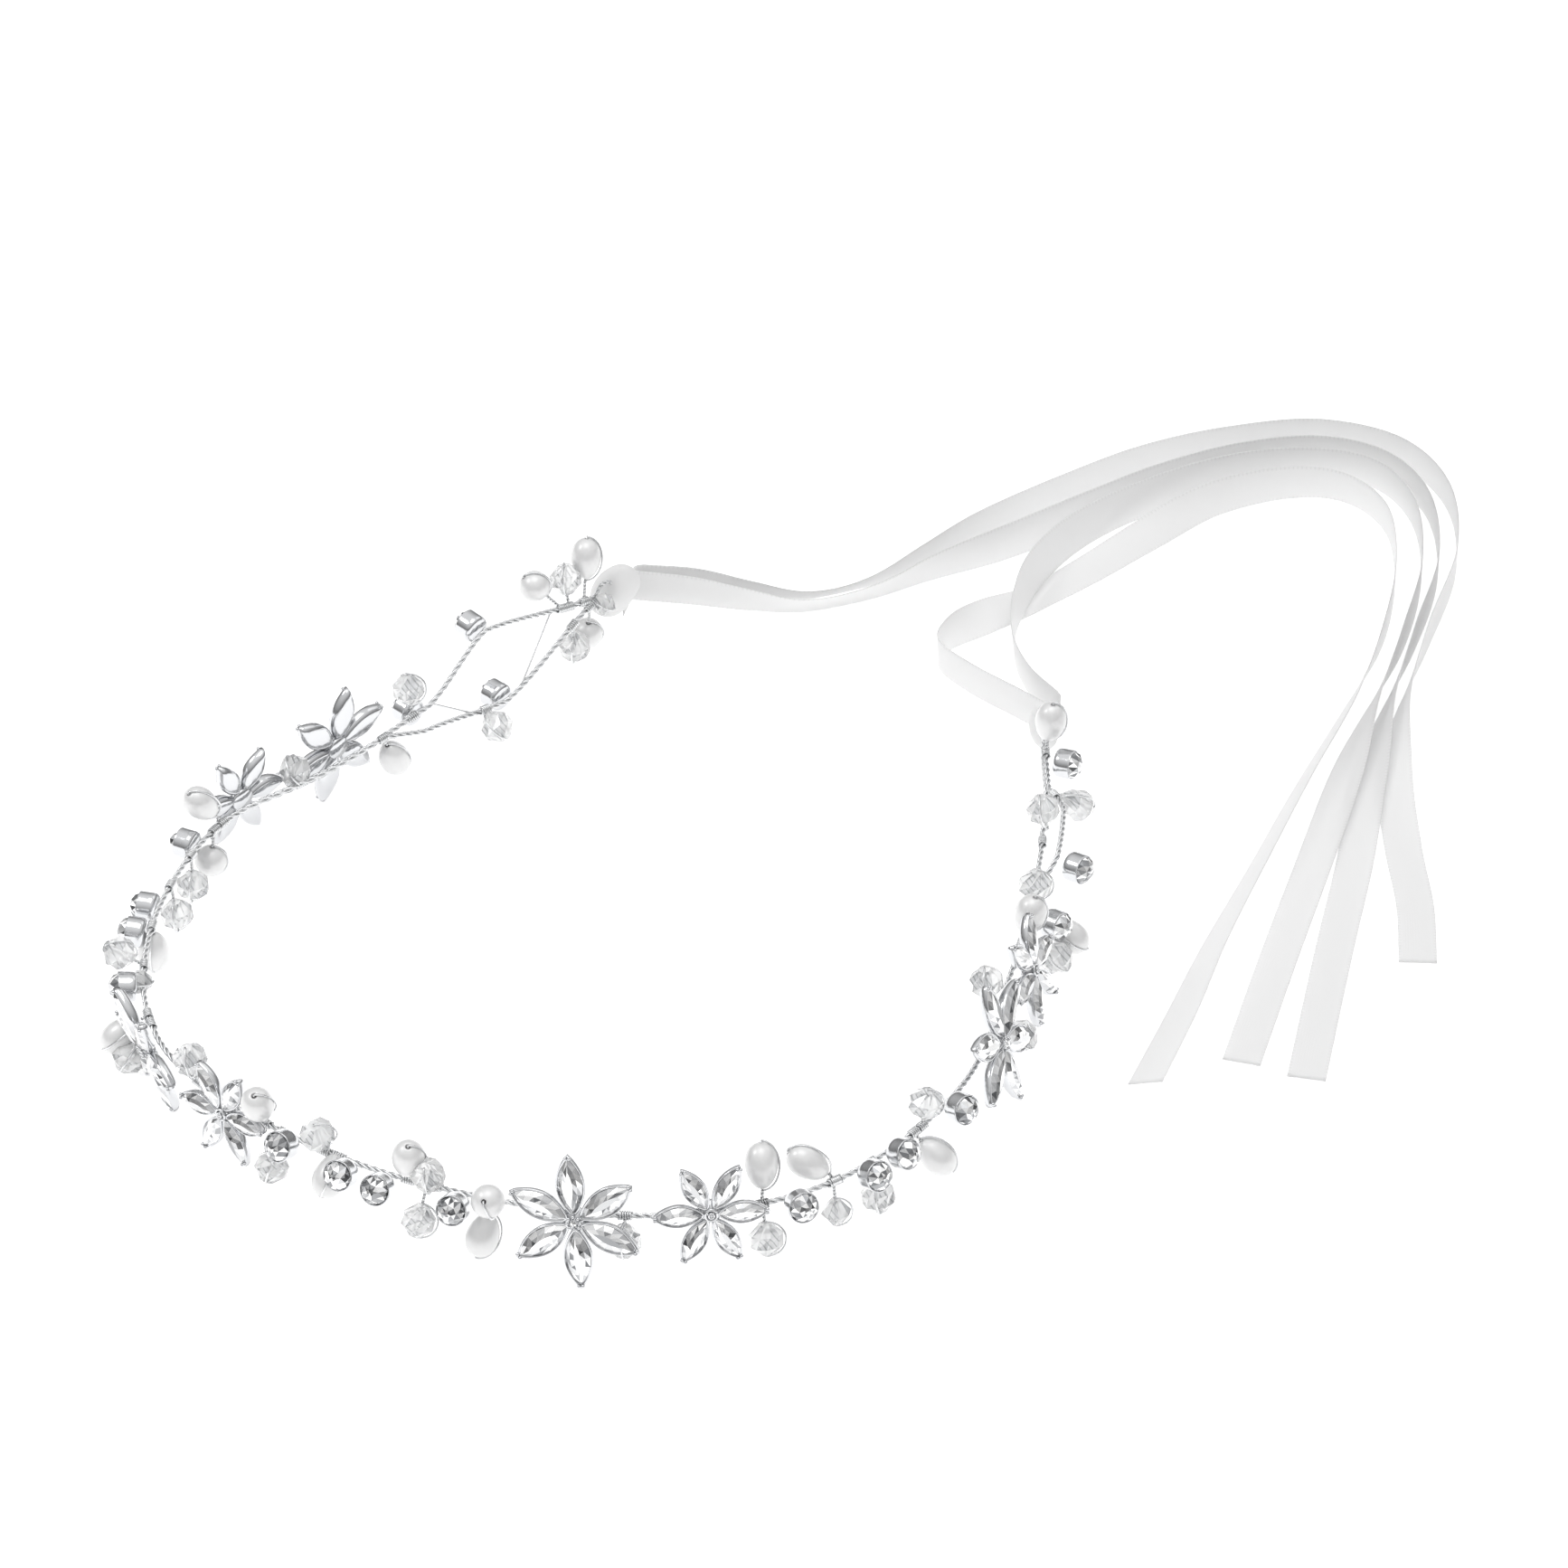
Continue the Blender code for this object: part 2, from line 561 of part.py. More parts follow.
for old in list(bpy.data.objects):
    bpy.data.objects.remove(old, do_unlink=True)
make_wires()
make_flowers()
make_cups()
make_beads()
make_folds()
make_ribbons()
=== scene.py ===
# %% [markdown]
# # A bridal flower crown
#
# The crown is a hair vine: silver-plated wire bent to an open oval, with cast
# flowers, stones in small cups, pearls and cut-glass beads twisted onto it, and
# a satin ribbon tied through each end.  This lesson gives the imported model its
# looks.  Every piece is a surface worked out with numpy, as a whole array of
# points, and each piece but the ribbon tails rides on the body of the imported model
# that it belongs to.

# %% Load the imported model
import json

import bmesh
import bpy
import numpy as np
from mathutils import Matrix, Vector

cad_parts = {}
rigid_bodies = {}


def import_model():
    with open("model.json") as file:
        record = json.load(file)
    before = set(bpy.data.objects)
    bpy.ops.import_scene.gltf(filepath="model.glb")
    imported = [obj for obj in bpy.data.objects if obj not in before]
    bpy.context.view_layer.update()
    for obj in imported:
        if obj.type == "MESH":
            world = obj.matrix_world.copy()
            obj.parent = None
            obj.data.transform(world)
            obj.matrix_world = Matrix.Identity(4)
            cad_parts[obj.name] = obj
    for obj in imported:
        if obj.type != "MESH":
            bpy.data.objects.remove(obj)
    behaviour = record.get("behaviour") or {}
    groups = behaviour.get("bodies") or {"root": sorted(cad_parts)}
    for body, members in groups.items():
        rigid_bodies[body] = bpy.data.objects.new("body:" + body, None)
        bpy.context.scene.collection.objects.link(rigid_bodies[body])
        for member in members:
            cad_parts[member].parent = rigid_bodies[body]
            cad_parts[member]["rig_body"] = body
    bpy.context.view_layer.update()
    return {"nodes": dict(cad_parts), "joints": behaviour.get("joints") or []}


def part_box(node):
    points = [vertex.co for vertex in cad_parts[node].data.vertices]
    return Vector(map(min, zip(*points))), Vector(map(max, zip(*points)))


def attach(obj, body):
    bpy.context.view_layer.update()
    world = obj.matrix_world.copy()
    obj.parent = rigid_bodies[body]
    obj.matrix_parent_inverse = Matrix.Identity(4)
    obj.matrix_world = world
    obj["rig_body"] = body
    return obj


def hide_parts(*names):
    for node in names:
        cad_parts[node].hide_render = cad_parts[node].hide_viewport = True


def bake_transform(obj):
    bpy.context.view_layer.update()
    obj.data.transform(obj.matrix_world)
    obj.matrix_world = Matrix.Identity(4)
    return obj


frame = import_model()
MM = 0.001
CHANCE = np.random.default_rng(7)

# %% [markdown]
# ## Camera, light and floor
#
# The crown lies on a pale sweep in a bright room.  A long lens from a little
# more than a metre away, looking down at 37 degrees, keeps the far side nearly
# as large as the near side.  Polished metal only shows what is around it, so
# the room is bright above and dim low down: that is what draws the dark bands
# on the cups.  The dark facets in the stones come from the same room together
# with painted reflection, a dark tone painted on some facets.

# %% Camera
TARGET = np.array([5.4, 62.6, 0.0]) * MM
CAMERA_AZIMUTH = np.radians(26)
CAMERA_ELEVATION = np.radians(37.5)
CAMERA_DISTANCE = 1.40
FOCAL_LENGTH = 159.9


def sight_line(azimuth, elevation):
    """Unit vector from the target outwards: azimuth turns from -Y towards +X, elevation rises from level."""
    level = np.array([np.sin(azimuth), -np.cos(azimuth), 0.0]) * np.cos(elevation)
    return level + np.array([0.0, 0.0, np.sin(elevation)])


towards_camera = sight_line(CAMERA_AZIMUTH, CAMERA_ELEVATION)
camera_data = bpy.data.cameras.new("product_camera")
camera_data.lens = FOCAL_LENGTH
camera_data.sensor_width = 36
camera_data.clip_start = 0.01
camera = bpy.data.objects.new("product_camera", camera_data)
bpy.context.scene.collection.objects.link(camera)
camera.location = TARGET + CAMERA_DISTANCE * towards_camera
camera.rotation_euler = Vector(-towards_camera).to_track_quat("-Z", "Y").to_euler()
bpy.context.scene.camera = camera
bpy.context.scene.view_settings.view_transform = "Standard"
print("camera at", camera.location)

# %% [markdown]
# ## Two small helpers for materials
#
# Colours are written as on a paint chart, in sRGB hex, and shaders want linear
# light, so one function turns one into the other.  Another adds one node with
# its settings and its links, which keeps each material down to a few lines.

# %% Colour and node helpers
def hex_colour(code):
    """Linear RGBA of an sRGB hex value: low values are divided by 12.92, the rest follow a power of 2.4."""
    srgb = np.array([int(code[i:i + 2], 16) for i in (1, 3, 5)]) / 255
    linear = np.where(srgb <= 0.04045, srgb / 12.92, ((srgb + 0.055) / 1.055) ** 2.4)
    return (*linear.tolist(), 1.0)


def add_node(tree, kind, settings=None, links=None):
    """One node: settings are its properties or its sockets' values, and links join sockets to its inputs."""
    node = tree.nodes.new(kind)
    sockets = {}
    for key, value in (settings or {}).items():
        if isinstance(key, str) and hasattr(node, key):
            setattr(node, key, value)
        else:
            sockets[key] = value
    for key, value in sockets.items():
        node.inputs[key].default_value = value
    for key, socket in (links or {}).items():
        tree.links.new(socket, node.inputs[key])
    return node


def new_material(name):
    """An empty material with its node tree and its output node."""
    material = bpy.data.materials.new(name)
    material.use_nodes = True
    material.node_tree.nodes.clear()
    output = material.node_tree.nodes.new("ShaderNodeOutputMaterial")
    return material, material.node_tree, output


# %% [markdown]
# The room is a world that is bright overhead and dim near the floor.  The
# camera itself sees plain white past the floor's edge.  Three wide lamps,
# overhead, to the upper left and behind, give the pearls their highlights.

# %% Room light
ROOM_TOP = 0.95
ROOM_LOW = 0.12
world = bpy.data.worlds.new("bright_room")
bpy.context.scene.world = world
world.use_nodes = True
room = world.node_tree
room.nodes.clear()
direction = add_node(room, "ShaderNodeTexCoord")
split = add_node(room, "ShaderNodeSeparateXYZ", links={0: direction.outputs["Generated"]})
height = add_node(room, "ShaderNodeMapRange", {"From Min": 0.0, "From Max": 0.85, "To Min": ROOM_LOW,
                                               "To Max": ROOM_TOP}, {"Value": split.outputs["Z"]})
sight = add_node(room, "ShaderNodeLightPath")
seen = add_node(room, "ShaderNodeMix", {"data_type": "FLOAT", 3: 1.0},
                {0: sight.outputs["Is Camera Ray"], 2: height.outputs[0]})
glow = add_node(room, "ShaderNodeBackground", {"Color": hex_colour("#ffffff")},
                {"Strength": seen.outputs[0]})
add_node(room, "ShaderNodeOutputWorld", links={"Surface": glow.outputs[0]})


def soft_lamp(name, azimuth, elevation, distance, size, power):
    """A square area lamp that looks at the target from an azimuth and an elevation in degrees."""
    line = sight_line(np.radians(azimuth), np.radians(elevation))
    data = bpy.data.lights.new(name, "AREA")
    data.size = size
    data.energy = power
    lamp = bpy.data.objects.new(name, data)
    bpy.context.scene.collection.objects.link(lamp)
    lamp.location = TARGET + distance * line
    lamp.rotation_euler = Vector(-line).to_track_quat("-Z", "Y").to_euler()


soft_lamp("overhead_softbox", 0, 88, 1.5, 0.9, 4)
soft_lamp("left_softbox", -62, 48, 1.3, 0.3, 2)
soft_lamp("back_softbox", 160, 40, 1.5, 0.8, 1)

# %% Floor
FLOOR_REACH = 4.0
FLOOR_DROP = 0.1 * MM
floor_material, tree, output = new_material("white_paper_sweep")
paper = add_node(tree, "ShaderNodeBsdfPrincipled",
                 {"Base Color": hex_colour("#ffffff"), "Roughness": 0.9, "Specular IOR Level": 0.0,
                  "Emission Color": hex_colour("#ffffff"), "Emission Strength": 0.45})
tree.links.new(paper.outputs[0], output.inputs[0])
floor_mesh = bpy.data.meshes.new("paper_floor")
corners = np.array([(-1, -1), (1, -1), (1, 1), (-1, 1)]) * FLOOR_REACH
floor_mesh.from_pydata(np.column_stack([corners, np.full(4, -FLOOR_DROP)]).tolist(), [], [(0, 1, 2, 3)])
floor_mesh.materials.append(floor_material)
paper_floor = bpy.data.objects.new("paper_floor", floor_mesh)
bpy.context.scene.collection.objects.link(paper_floor)

# %% [markdown]
# ## Surfaces from arrays
#
# A surface here is a grid of points, one row after another, with a four-sided
# face between neighbours.  A turned shape, a wire and a ribbon are all such
# grids, so one function makes the faces for every piece.  Another function
# makes a finished piece of one or more surfaces.

# %% Grids and pieces
def grid(points, wrap_rows=False, wrap_columns=False, caps=False):
    """Points and faces of a grid: wraps join the last row or column to the first, caps close the end rows."""
    rows, columns = points.shape[:2]
    index = np.arange(rows * columns).reshape(rows, columns)
    ends = [index[0].tolist(), index[-1].tolist()]
    if wrap_rows:
        index = np.vstack([index, index[:1]])
    if wrap_columns:
        index = np.hstack([index, index[:, :1]])
    quads = np.stack([index[:-1, :-1], index[:-1, 1:], index[1:, 1:], index[1:, :-1]], axis=-1)
    return points.reshape(-1, 3), quads.reshape(-1, 4).tolist() + (ends if caps else [])


def joined(surfaces):
    """One surface of several: each one's faces are numbered on from the points before it."""
    starts = np.cumsum([0] + [len(points) for points, _ in surfaces])
    faces = [[corner + start for corner in face]
             for start, (_, part) in zip(starts.tolist(), surfaces) for face in part]
    return np.vstack([points for points, _ in surfaces]), faces


def make_piece(name, surfaces, material, body, replaced=(), smooth=True):
    """A finished piece at the origin: its surfaces' faces all turned outwards, riding on a body."""
    points, faces = joined(surfaces)
    mesh = bpy.data.meshes.new(name)
    mesh.from_pydata(points.tolist(), [], faces)
    shell = bmesh.new()
    shell.from_mesh(mesh)
    bmesh.ops.recalc_face_normals(shell, faces=shell.faces)
    shell.to_mesh(mesh)
    shell.free()
    mesh.polygons.foreach_set("use_smooth", np.full(len(mesh.polygons), smooth))
    mesh.materials.append(material)
    piece = bpy.data.objects.new(name, mesh)
    bpy.context.scene.collection.objects.link(piece)
    if body:
        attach(piece, body)
    if replaced:
        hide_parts(*replaced)
    return piece


def unit(vectors):
    """Vectors scaled to length one."""
    return vectors / np.linalg.norm(vectors, axis=-1, keepdims=True)


def smooth_curve(points, per_span=24):
    """Catmull-Rom curve: between two points, the cubic through both that heads for the points either side."""
    knots = np.array(points, float)
    knots = np.vstack([2 * knots[0] - knots[1], knots, 2 * knots[-1] - knots[-2]])[:, None]
    t = (np.arange(per_span) / per_span)[None, :, None]
    p0, p1, p2, p3 = knots[:-3], knots[1:-2], knots[2:-1], knots[3:]
    curve = 0.5 * (2 * p1 + (p2 - p0) * t + (2 * p0 - 5 * p1 + 4 * p2 - p3) * t ** 2
                   + (3 * p1 - p0 - 3 * p2 + p3) * t ** 3)
    return np.vstack([curve.reshape(-1, knots.shape[-1]), knots[-2]])


def lengths_along(path):
    """Length along a path from its first point to each point."""
    return np.concatenate([[0.0], np.cumsum(np.linalg.norm(np.diff(path, axis=0), axis=1))])


def evenly(path, step):
    """The path with its points a step apart, measured along its first three columns."""
    length = lengths_along(path[:, :3])
    wanted = np.linspace(0, length[-1], int(round(length[-1] / step)) + 1)
    return np.column_stack([np.interp(wanted, length, column) for column in path.T])


# %% [markdown]
# ## The satin ribbons
#
# Each end of the vine carries one polyester satin ribbon, folded in half
# through the wire, so two tails leave each end.  Satin is limp: the tails stand
# on edge where they bend sideways and lie flat near their cut ends.  A tail is
# a flat section carried along its route, and each point of the route also says
# how far the width leans, from 0 lying flat to 90 standing on edge.

# %% Ribbon routes
PLAN_SHIFT = np.array([-0.55, 0.8])
RIBBON_WIDTH = 7.5 * MM
RIBBON_THICK = 0.25 * MM
# x, y and height in mm, and lean in degrees
RIBBON_ROUTES = {
    "left_ribbon_outer_tail": [
        (-46, 101.5, 8.6, 90), (-36, 107, 7.4, 95), (-25, 111, 6.0, 112), (-15, 116, 4.8, 132),
        (-7, 126, 4.0, 128), (0, 140, 4.0, 100), (8, 157, 4.0, 62), (17, 174, 4.0, 52),
        (28, 192, 4.0, 55), (42, 207, 4.0, 68), (58, 218, 4.0, 80), (76, 219, 4.2, 88),
        (91, 208, 4.2, 90), (101, 187, 4.2, 90), (105.5, 160, 4.2, 90), (109.5, 136, 3.6, 65),
        (116, 116, 1.8, 20), (126, 96, 0.8, 4), (135, 80, 0.45, 0), (142, 64, 0.45, 0)],
    "left_ribbon_inner_tail": [
        (-47, 99.5, 8.0, 90), (-36, 104.5, 6.8, 94), (-25, 108.5, 5.4, 108), (-14, 113, 4.5, 125),
        (-4, 124, 4.0, 120), (4, 138, 4.0, 98), (14, 153, 4.0, 70), (24, 170, 4.2, 60),
        (34, 187, 4.2, 66), (46, 202, 4.2, 78), (60, 212, 4.2, 86), (75, 213, 4.2, 90),
        (88.5, 203, 4.2, 90), (98.5, 183, 4.2, 90), (103.3, 158, 4.2, 90), (106.8, 134, 3.6, 62),
        (112, 112, 1.6, 16), (119, 88, 0.9, 5), (126, 60, 0.45, 0), (136, 22, 0.45, 0)],
    "right_ribbon_folded_tail": [
        (49.5, 96.5, 6.6, 90), (39, 101, 5.2, 92), (27, 105.5, 4.2, 92), (17.5, 110.5, 4.0, 88),
        (16.5, 118, 3.9, 78), (20, 128, 2.8, 42), (25.5, 141, 0.9, 8), (31, 153, 1.2, 12),
        (38, 170, 2.2, 30), (46, 186, 3.6, 60), (58, 198, 4.0, 80), (70, 201.5, 4.2, 90),
        (82, 195, 4.2, 90), (91, 178, 4.2, 90), (97, 156, 4.2, 88), (99.5, 132, 3.6, 62),
        (101, 104, 3.4, 55), (103, 78, 3.2, 50), (105, 50, 2.6, 40), (107.5, 28, 2.0, 28),
        (109.5, 6, 1.7, 22)],
    "right_ribbon_straight_tail": [
        (48.5, 101, 7.0, 90), (39, 108, 6.0, 88), (31, 118, 5.0, 85), (26, 130, 5.3, 78),
        (24, 146, 5.7, 60), (27, 164, 5.2, 55), (36, 184, 4.2, 62), (47, 198, 4.2, 76),
        (60, 207, 4.2, 86), (74, 209, 4.2, 90), (86.5, 199.5, 4.2, 90), (96, 180, 4.2, 90),
        (101.3, 156, 4.2, 90), (104, 132, 3.6, 60), (107.5, 110, 1.8, 18), (112, 84, 1.2, 6),
        (117, 54, 0.6, 0), (123, 21, 0.45, 0)],
}

# %% [markdown]
# Satin is woven so that long threads lie on top, side by side along the
# ribbon.  They make it glossy across the threads and milky along them, and the
# thin cloth lets some light through.  The real thread spacing of 0.1 mm is too
# fine to show, so the ribs are drawn at 0.5 mm.  Along each edge the weft turns
# back every 0.9 mm, which leaves a row of small steps.

# %% Satin material
THREAD_RIBS = 15
EDGE_STEP = 0.9 * MM
satin, tree, output = new_material("polyester_satin")
ribbon_map = add_node(tree, "ShaderNodeUVMap", {"uv_map": "ribbon"})
across_along = add_node(tree, "ShaderNodeSeparateXYZ", links={0: ribbon_map.outputs[0]})
ribs = add_node(tree, "ShaderNodeMath", {"operation": "MULTIPLY", 1: THREAD_RIBS * 2 * np.pi},
                {0: across_along.outputs["X"]})
rib_wave = add_node(tree, "ShaderNodeMath", {"operation": "SINE"}, {0: ribs.outputs[0]})
steps = add_node(tree, "ShaderNodeMath", {"operation": "MULTIPLY", 1: 2 * np.pi / EDGE_STEP},
                 {0: across_along.outputs["Y"]})
step_wave = add_node(tree, "ShaderNodeMath", {"operation": "SINE"}, {0: steps.outputs[0]})
from_middle = add_node(tree, "ShaderNodeMath", {"operation": "SUBTRACT", 1: 0.5},
                       {0: across_along.outputs["X"]})
off_middle = add_node(tree, "ShaderNodeMath", {"operation": "ABSOLUTE"}, {0: from_middle.outputs[0]})
edge = add_node(tree, "ShaderNodeMapRange", {"From Min": 0.40, "From Max": 0.45},
                {"Value": off_middle.outputs[0]})
edge_steps = add_node(tree, "ShaderNodeMath", {"operation": "MULTIPLY"},
                      {0: edge.outputs[0], 1: step_wave.outputs[0]})
relief = add_node(tree, "ShaderNodeMath", {"operation": "MULTIPLY_ADD", 1: 0.25},
                  {0: rib_wave.outputs[0], 2: edge_steps.outputs[0]})
satin_bump = add_node(tree, "ShaderNodeBump", {"Strength": 0.25, "Distance": 0.06 * MM},
                      {"Height": relief.outputs[0]})
edge_tint = add_node(tree, "ShaderNodeMath", {"operation": "MULTIPLY", 1: 0.5}, {0: edge_steps.outputs[0]})
thread_colour = add_node(tree, "ShaderNodeMix", {"data_type": "RGBA", 6: hex_colour("#f6f6f6"),
                                                 7: hex_colour("#dedede")}, {0: edge_tint.outputs[0]})
cloth = add_node(tree, "ShaderNodeBsdfPrincipled", {"Roughness": 0.42, "Sheen Weight": 0.25,
                                                    "Specular IOR Level": 0.35},
                 {"Base Color": thread_colour.outputs[2], "Normal": satin_bump.outputs[0]})
through = add_node(tree, "ShaderNodeBsdfTranslucent", {"Color": hex_colour("#f4f4f4")})
weave = add_node(tree, "ShaderNodeMixShader", {0: 0.4}, {1: cloth.outputs[0], 2: through.outputs[0]})
tree.links.new(weave.outputs[0], output.inputs[0])

# %% Ribbon tails
RIBBON_STEP = 1.5 * MM
LEAD_STEPS = 8
ACROSS = np.array([-1, -0.97, -0.9, -0.7, -0.35, 0, 0.35, 0.7, 0.9, 0.97, 1])
EDGE_ROUND = np.array([0.35, 0.8, 1, 0.8, 0.8, 0.8, 0.8, 0.8, 1, 0.8, 0.35])


def ribbon_frame(route):
    """Middle line of a ribbon, and its width and thickness directions: the lean turns the width from level
    to upright."""
    path = smooth_curve(route)
    path[:, :2] += PLAN_SHIFT
    path = evenly(path * [MM, MM, MM, 1], RIBBON_STEP)
    ahead = unit(np.gradient(path[:, :3], axis=0))
    level = unit(np.column_stack([-ahead[:, 1], ahead[:, 0], np.zeros(len(ahead))]))
    rise = np.cross(ahead, level)
    rise *= np.sign(rise[:, 2:])
    lean = np.radians(path[:, 3:])
    wide = level * np.cos(lean) + rise * np.sin(lean)
    return path[:, :3], wide, np.cross(ahead, wide)


def lead_in(fold, start, ahead):
    """The way out of the fold: a cubic from the fold's middle that leaves straight for the tail's start and
    arrives in the tail's own direction."""
    low, high = (np.array(corner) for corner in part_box(fold))
    origin = (low + high) / 2
    origin[2] = start[2]
    reach = start - origin
    t = np.linspace(0, 1, LEAD_STEPS, endpoint=False)[:, None]
    leave, arrive = t * (1 - t) ** 2, t * t * (t - 1)
    return origin + reach * t * t * (3 - 2 * t) + reach * leave + ahead * np.linalg.norm(reach) * arrive


def ribbon_tail(name, route, fold):
    """A ribbon: a thin section, a little thicker near its edges, carried along the route.  Its map runs in
    widths across and in metres along."""
    middle, wide, thick = ribbon_frame(route)
    lead = lead_in(fold, middle[0], unit(middle[1] - middle[0]))
    middle = np.vstack([lead, middle])
    lead_ahead = unit(np.gradient(middle, axis=0))[:LEAD_STEPS]
    lead_wide = np.tile([0.0, 0.0, 1.0], (LEAD_STEPS, 1)) * np.sign(wide[0, 2])
    wide = np.vstack([lead_wide, wide])
    thick = np.vstack([unit(np.cross(lead_ahead, lead_wide)), thick])
    section_across = np.concatenate([ACROSS, ACROSS[::-1]])
    section_through = np.concatenate([-EDGE_ROUND, EDGE_ROUND[::-1]])
    points = (middle[:, None] + wide[:, None] * section_across[:, None] * RIBBON_WIDTH / 2
              + thick[:, None] * section_through[:, None] * RIBBON_THICK / 2)
    tail = make_piece(name, [grid(points, wrap_columns=True, caps=True)], satin, None, [name])
    length = lengths_along(middle)
    across = np.tile((section_across + 1) / 2, len(middle))
    along = np.repeat(length, len(section_across))
    corner_points = np.empty(len(tail.data.loops), int)
    tail.data.loops.foreach_get("vertex_index", corner_points)
    mapped = np.column_stack([across[corner_points], along[corner_points]])
    tail.data.uv_layers.new(name="ribbon").data.foreach_set("uv", mapped.ravel())
    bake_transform(tail)
    print(name, "is", round(length[-1] / MM), "mm long")


for name, route in RIBBON_ROUTES.items():
    side = name.split("_")[0]
    ribbon_tail(name, route, side + "_ribbon_fold")

# %% [markdown]
# ## The plan of the vine
#
# A place on the vine is given by three lengths: along the wire from the middle
# of the front, out from the wire, and up from the table.  The wire's plan is
# one smooth curve through fourteen points, the same that the solids follow.

# %% Vine plan
VINE_PLAN = [(-48, 88), (-57, 58), (-70.2, 16), (-82, -14), (-76, -50), (-56, -77), (-20, -88.5),
             (16, -88), (49, -78), (73, -56), (83, -22), (78, 12), (67, 54), (52, 86)]
VINE_HEIGHT = 11.0
PLAN = smooth_curve(VINE_PLAN)
PLAN_LENGTH = lengths_along(PLAN)
MIDDLE = PLAN_LENGTH[np.argmin(np.abs(PLAN[:, 0]) + 1000 * (PLAN[:, 1] > 0))]
RUN_ON = 20.0
before = PLAN[0] + RUN_ON * unit(PLAN[0] - PLAN[1])
after = PLAN[-1] + RUN_ON * unit(PLAN[-1] - PLAN[-2])
LONG_PLAN = np.vstack([before, PLAN, after])
LONG_LENGTH = np.concatenate([[-RUN_ON], PLAN_LENGTH, [PLAN_LENGTH[-1] + RUN_ON]]) - MIDDLE


def plan_point(along):
    """Points of the wire's middle line in plan, in mm."""
    return np.column_stack([np.interp(along, LONG_LENGTH, LONG_PLAN[:, i]) for i in (0, 1)]) + PLAN_SHIFT


def outward(along):
    """Unit vectors out from the wire, in plan: the wire's own direction turned a quarter."""
    ahead = unit(plan_point(along + 2) - plan_point(along - 2))
    return np.column_stack([ahead[:, 1], -ahead[:, 0]])


def vine_place(along, out, up):
    """World points, in metres, of places given along, out and up in mm."""
    along = np.atleast_1d(np.asarray(along, float))
    level = plan_point(along) + outward(along) * np.reshape(out, (-1, 1))
    return np.column_stack([level, np.broadcast_to(up, len(along))]) * MM


LEFT_END, LEFT_SPLIT, LEFT_BEND = -234.0, -174.0, -112.0
RIGHT_END, RIGHT_SPLIT, RIGHT_BEND = 229.0, 182.0, 122.0
LEFT_UPPER = [(LEFT_END, 0.2, 13.3), (-204.5, 2.4, 19.6), (-185, -0.6, 12.6), (LEFT_SPLIT, 0.2, 11.3)]
LEFT_LOWER = [(LEFT_END, -0.2, 12.7), (-204.5, -3.3, 4.8), (-183, -2.2, 8.6), (LEFT_SPLIT, -0.2, 10.7)]
RIGHT_UPPER = [(RIGHT_SPLIT, 0.2, 11.3), (191, 3, 14), (205, 3, 14), (216, 0.2, 11.3), (RIGHT_END, 0.2, 11.3)]
RIGHT_LOWER = [(RIGHT_SPLIT, -0.2, 10.7), (191, -1, 8), (205, -1, 8), (216, -0.2, 10.7),
               (RIGHT_END, -0.2, 10.7)]


def wire_run(start, end, stations=None, step=0.25):
    """A run of wire between two places: straight on at the vine's height, or from station to station."""
    along = np.linspace(start, end, int(round((end - start) / step)) + 1)
    if stations is None:
        return vine_place(along, 0.0, VINE_HEIGHT)
    keys = np.array(stations)
    i = np.clip(np.searchsorted(keys[:, 0], along) - 1, 0, len(keys) - 2)
    t = np.clip((along - keys[i, 0]) / (keys[i + 1, 0] - keys[i, 0]), 0, 1)
    t = (0.6 * t + 0.4 * t * t * (3 - 2 * t))[:, None]
    shape = keys[i, 1:] * (1 - t) + keys[i + 1, 1:] * t
    return vine_place(along, shape[:, 0], shape[:, 1])


WIRE_RUNS = {
    "left_end_wire": [wire_run(LEFT_END, LEFT_SPLIT, LEFT_UPPER), wire_run(LEFT_END, LEFT_SPLIT, LEFT_LOWER)],
    "left_arm_wire": [wire_run(LEFT_SPLIT, LEFT_BEND)],
    "front_wire": [wire_run(LEFT_BEND, RIGHT_BEND)],
    "right_arm_wire": [wire_run(RIGHT_BEND, RIGHT_SPLIT)],
    "right_end_wire": [wire_run(RIGHT_SPLIT, RIGHT_END, RIGHT_UPPER),
                       wire_run(RIGHT_SPLIT, RIGHT_END, RIGHT_LOWER)],
}
WIRE_BODIES = {"left_end_wire": "left_arm", "left_arm_wire": "left_arm", "front_wire": "front",
               "right_arm_wire": "right_arm", "right_end_wire": "right_arm"}
print("vine is", round(RIGHT_END - LEFT_END), "mm long")

# %% [markdown]
# ## Metals
#
# Two metals are on the crown.  The wire is copper with a bright silver plate,
# drawn through a die, so it is mirror-smooth with faint lines along it.  The
# flower settings and cups are cast or stamped, tumbled and plated: still
# bright, but a touch softer, with slight waves left by the tumbling.

# %% Silver materials
def plated_metal(name, colour, roughness, wave_size, wave_strength):
    """Bright plate over a wavy base: a noise of the wave's size gives the bump and a faint dulling."""
    material, tree, output = new_material(name)
    place = add_node(tree, "ShaderNodeTexCoord")
    waves = add_node(tree, "ShaderNodeTexNoise", {"Scale": 1 / wave_size, "Detail": 2.0},
                     {"Vector": place.outputs["Object"]})
    bump = add_node(tree, "ShaderNodeBump", {"Strength": wave_strength, "Distance": 0.1 * MM},
                    {"Height": waves.outputs[0]})
    dull = add_node(tree, "ShaderNodeMapRange", {"To Min": roughness, "To Max": roughness + 0.12},
                    {"Value": waves.outputs[0]})
    plate = add_node(tree, "ShaderNodeBsdfPrincipled", {"Base Color": hex_colour(colour), "Metallic": 1.0},
                     {"Roughness": dull.outputs[0], "Normal": bump.outputs[0]})
    tree.links.new(plate.outputs[0], output.inputs[0])
    return material


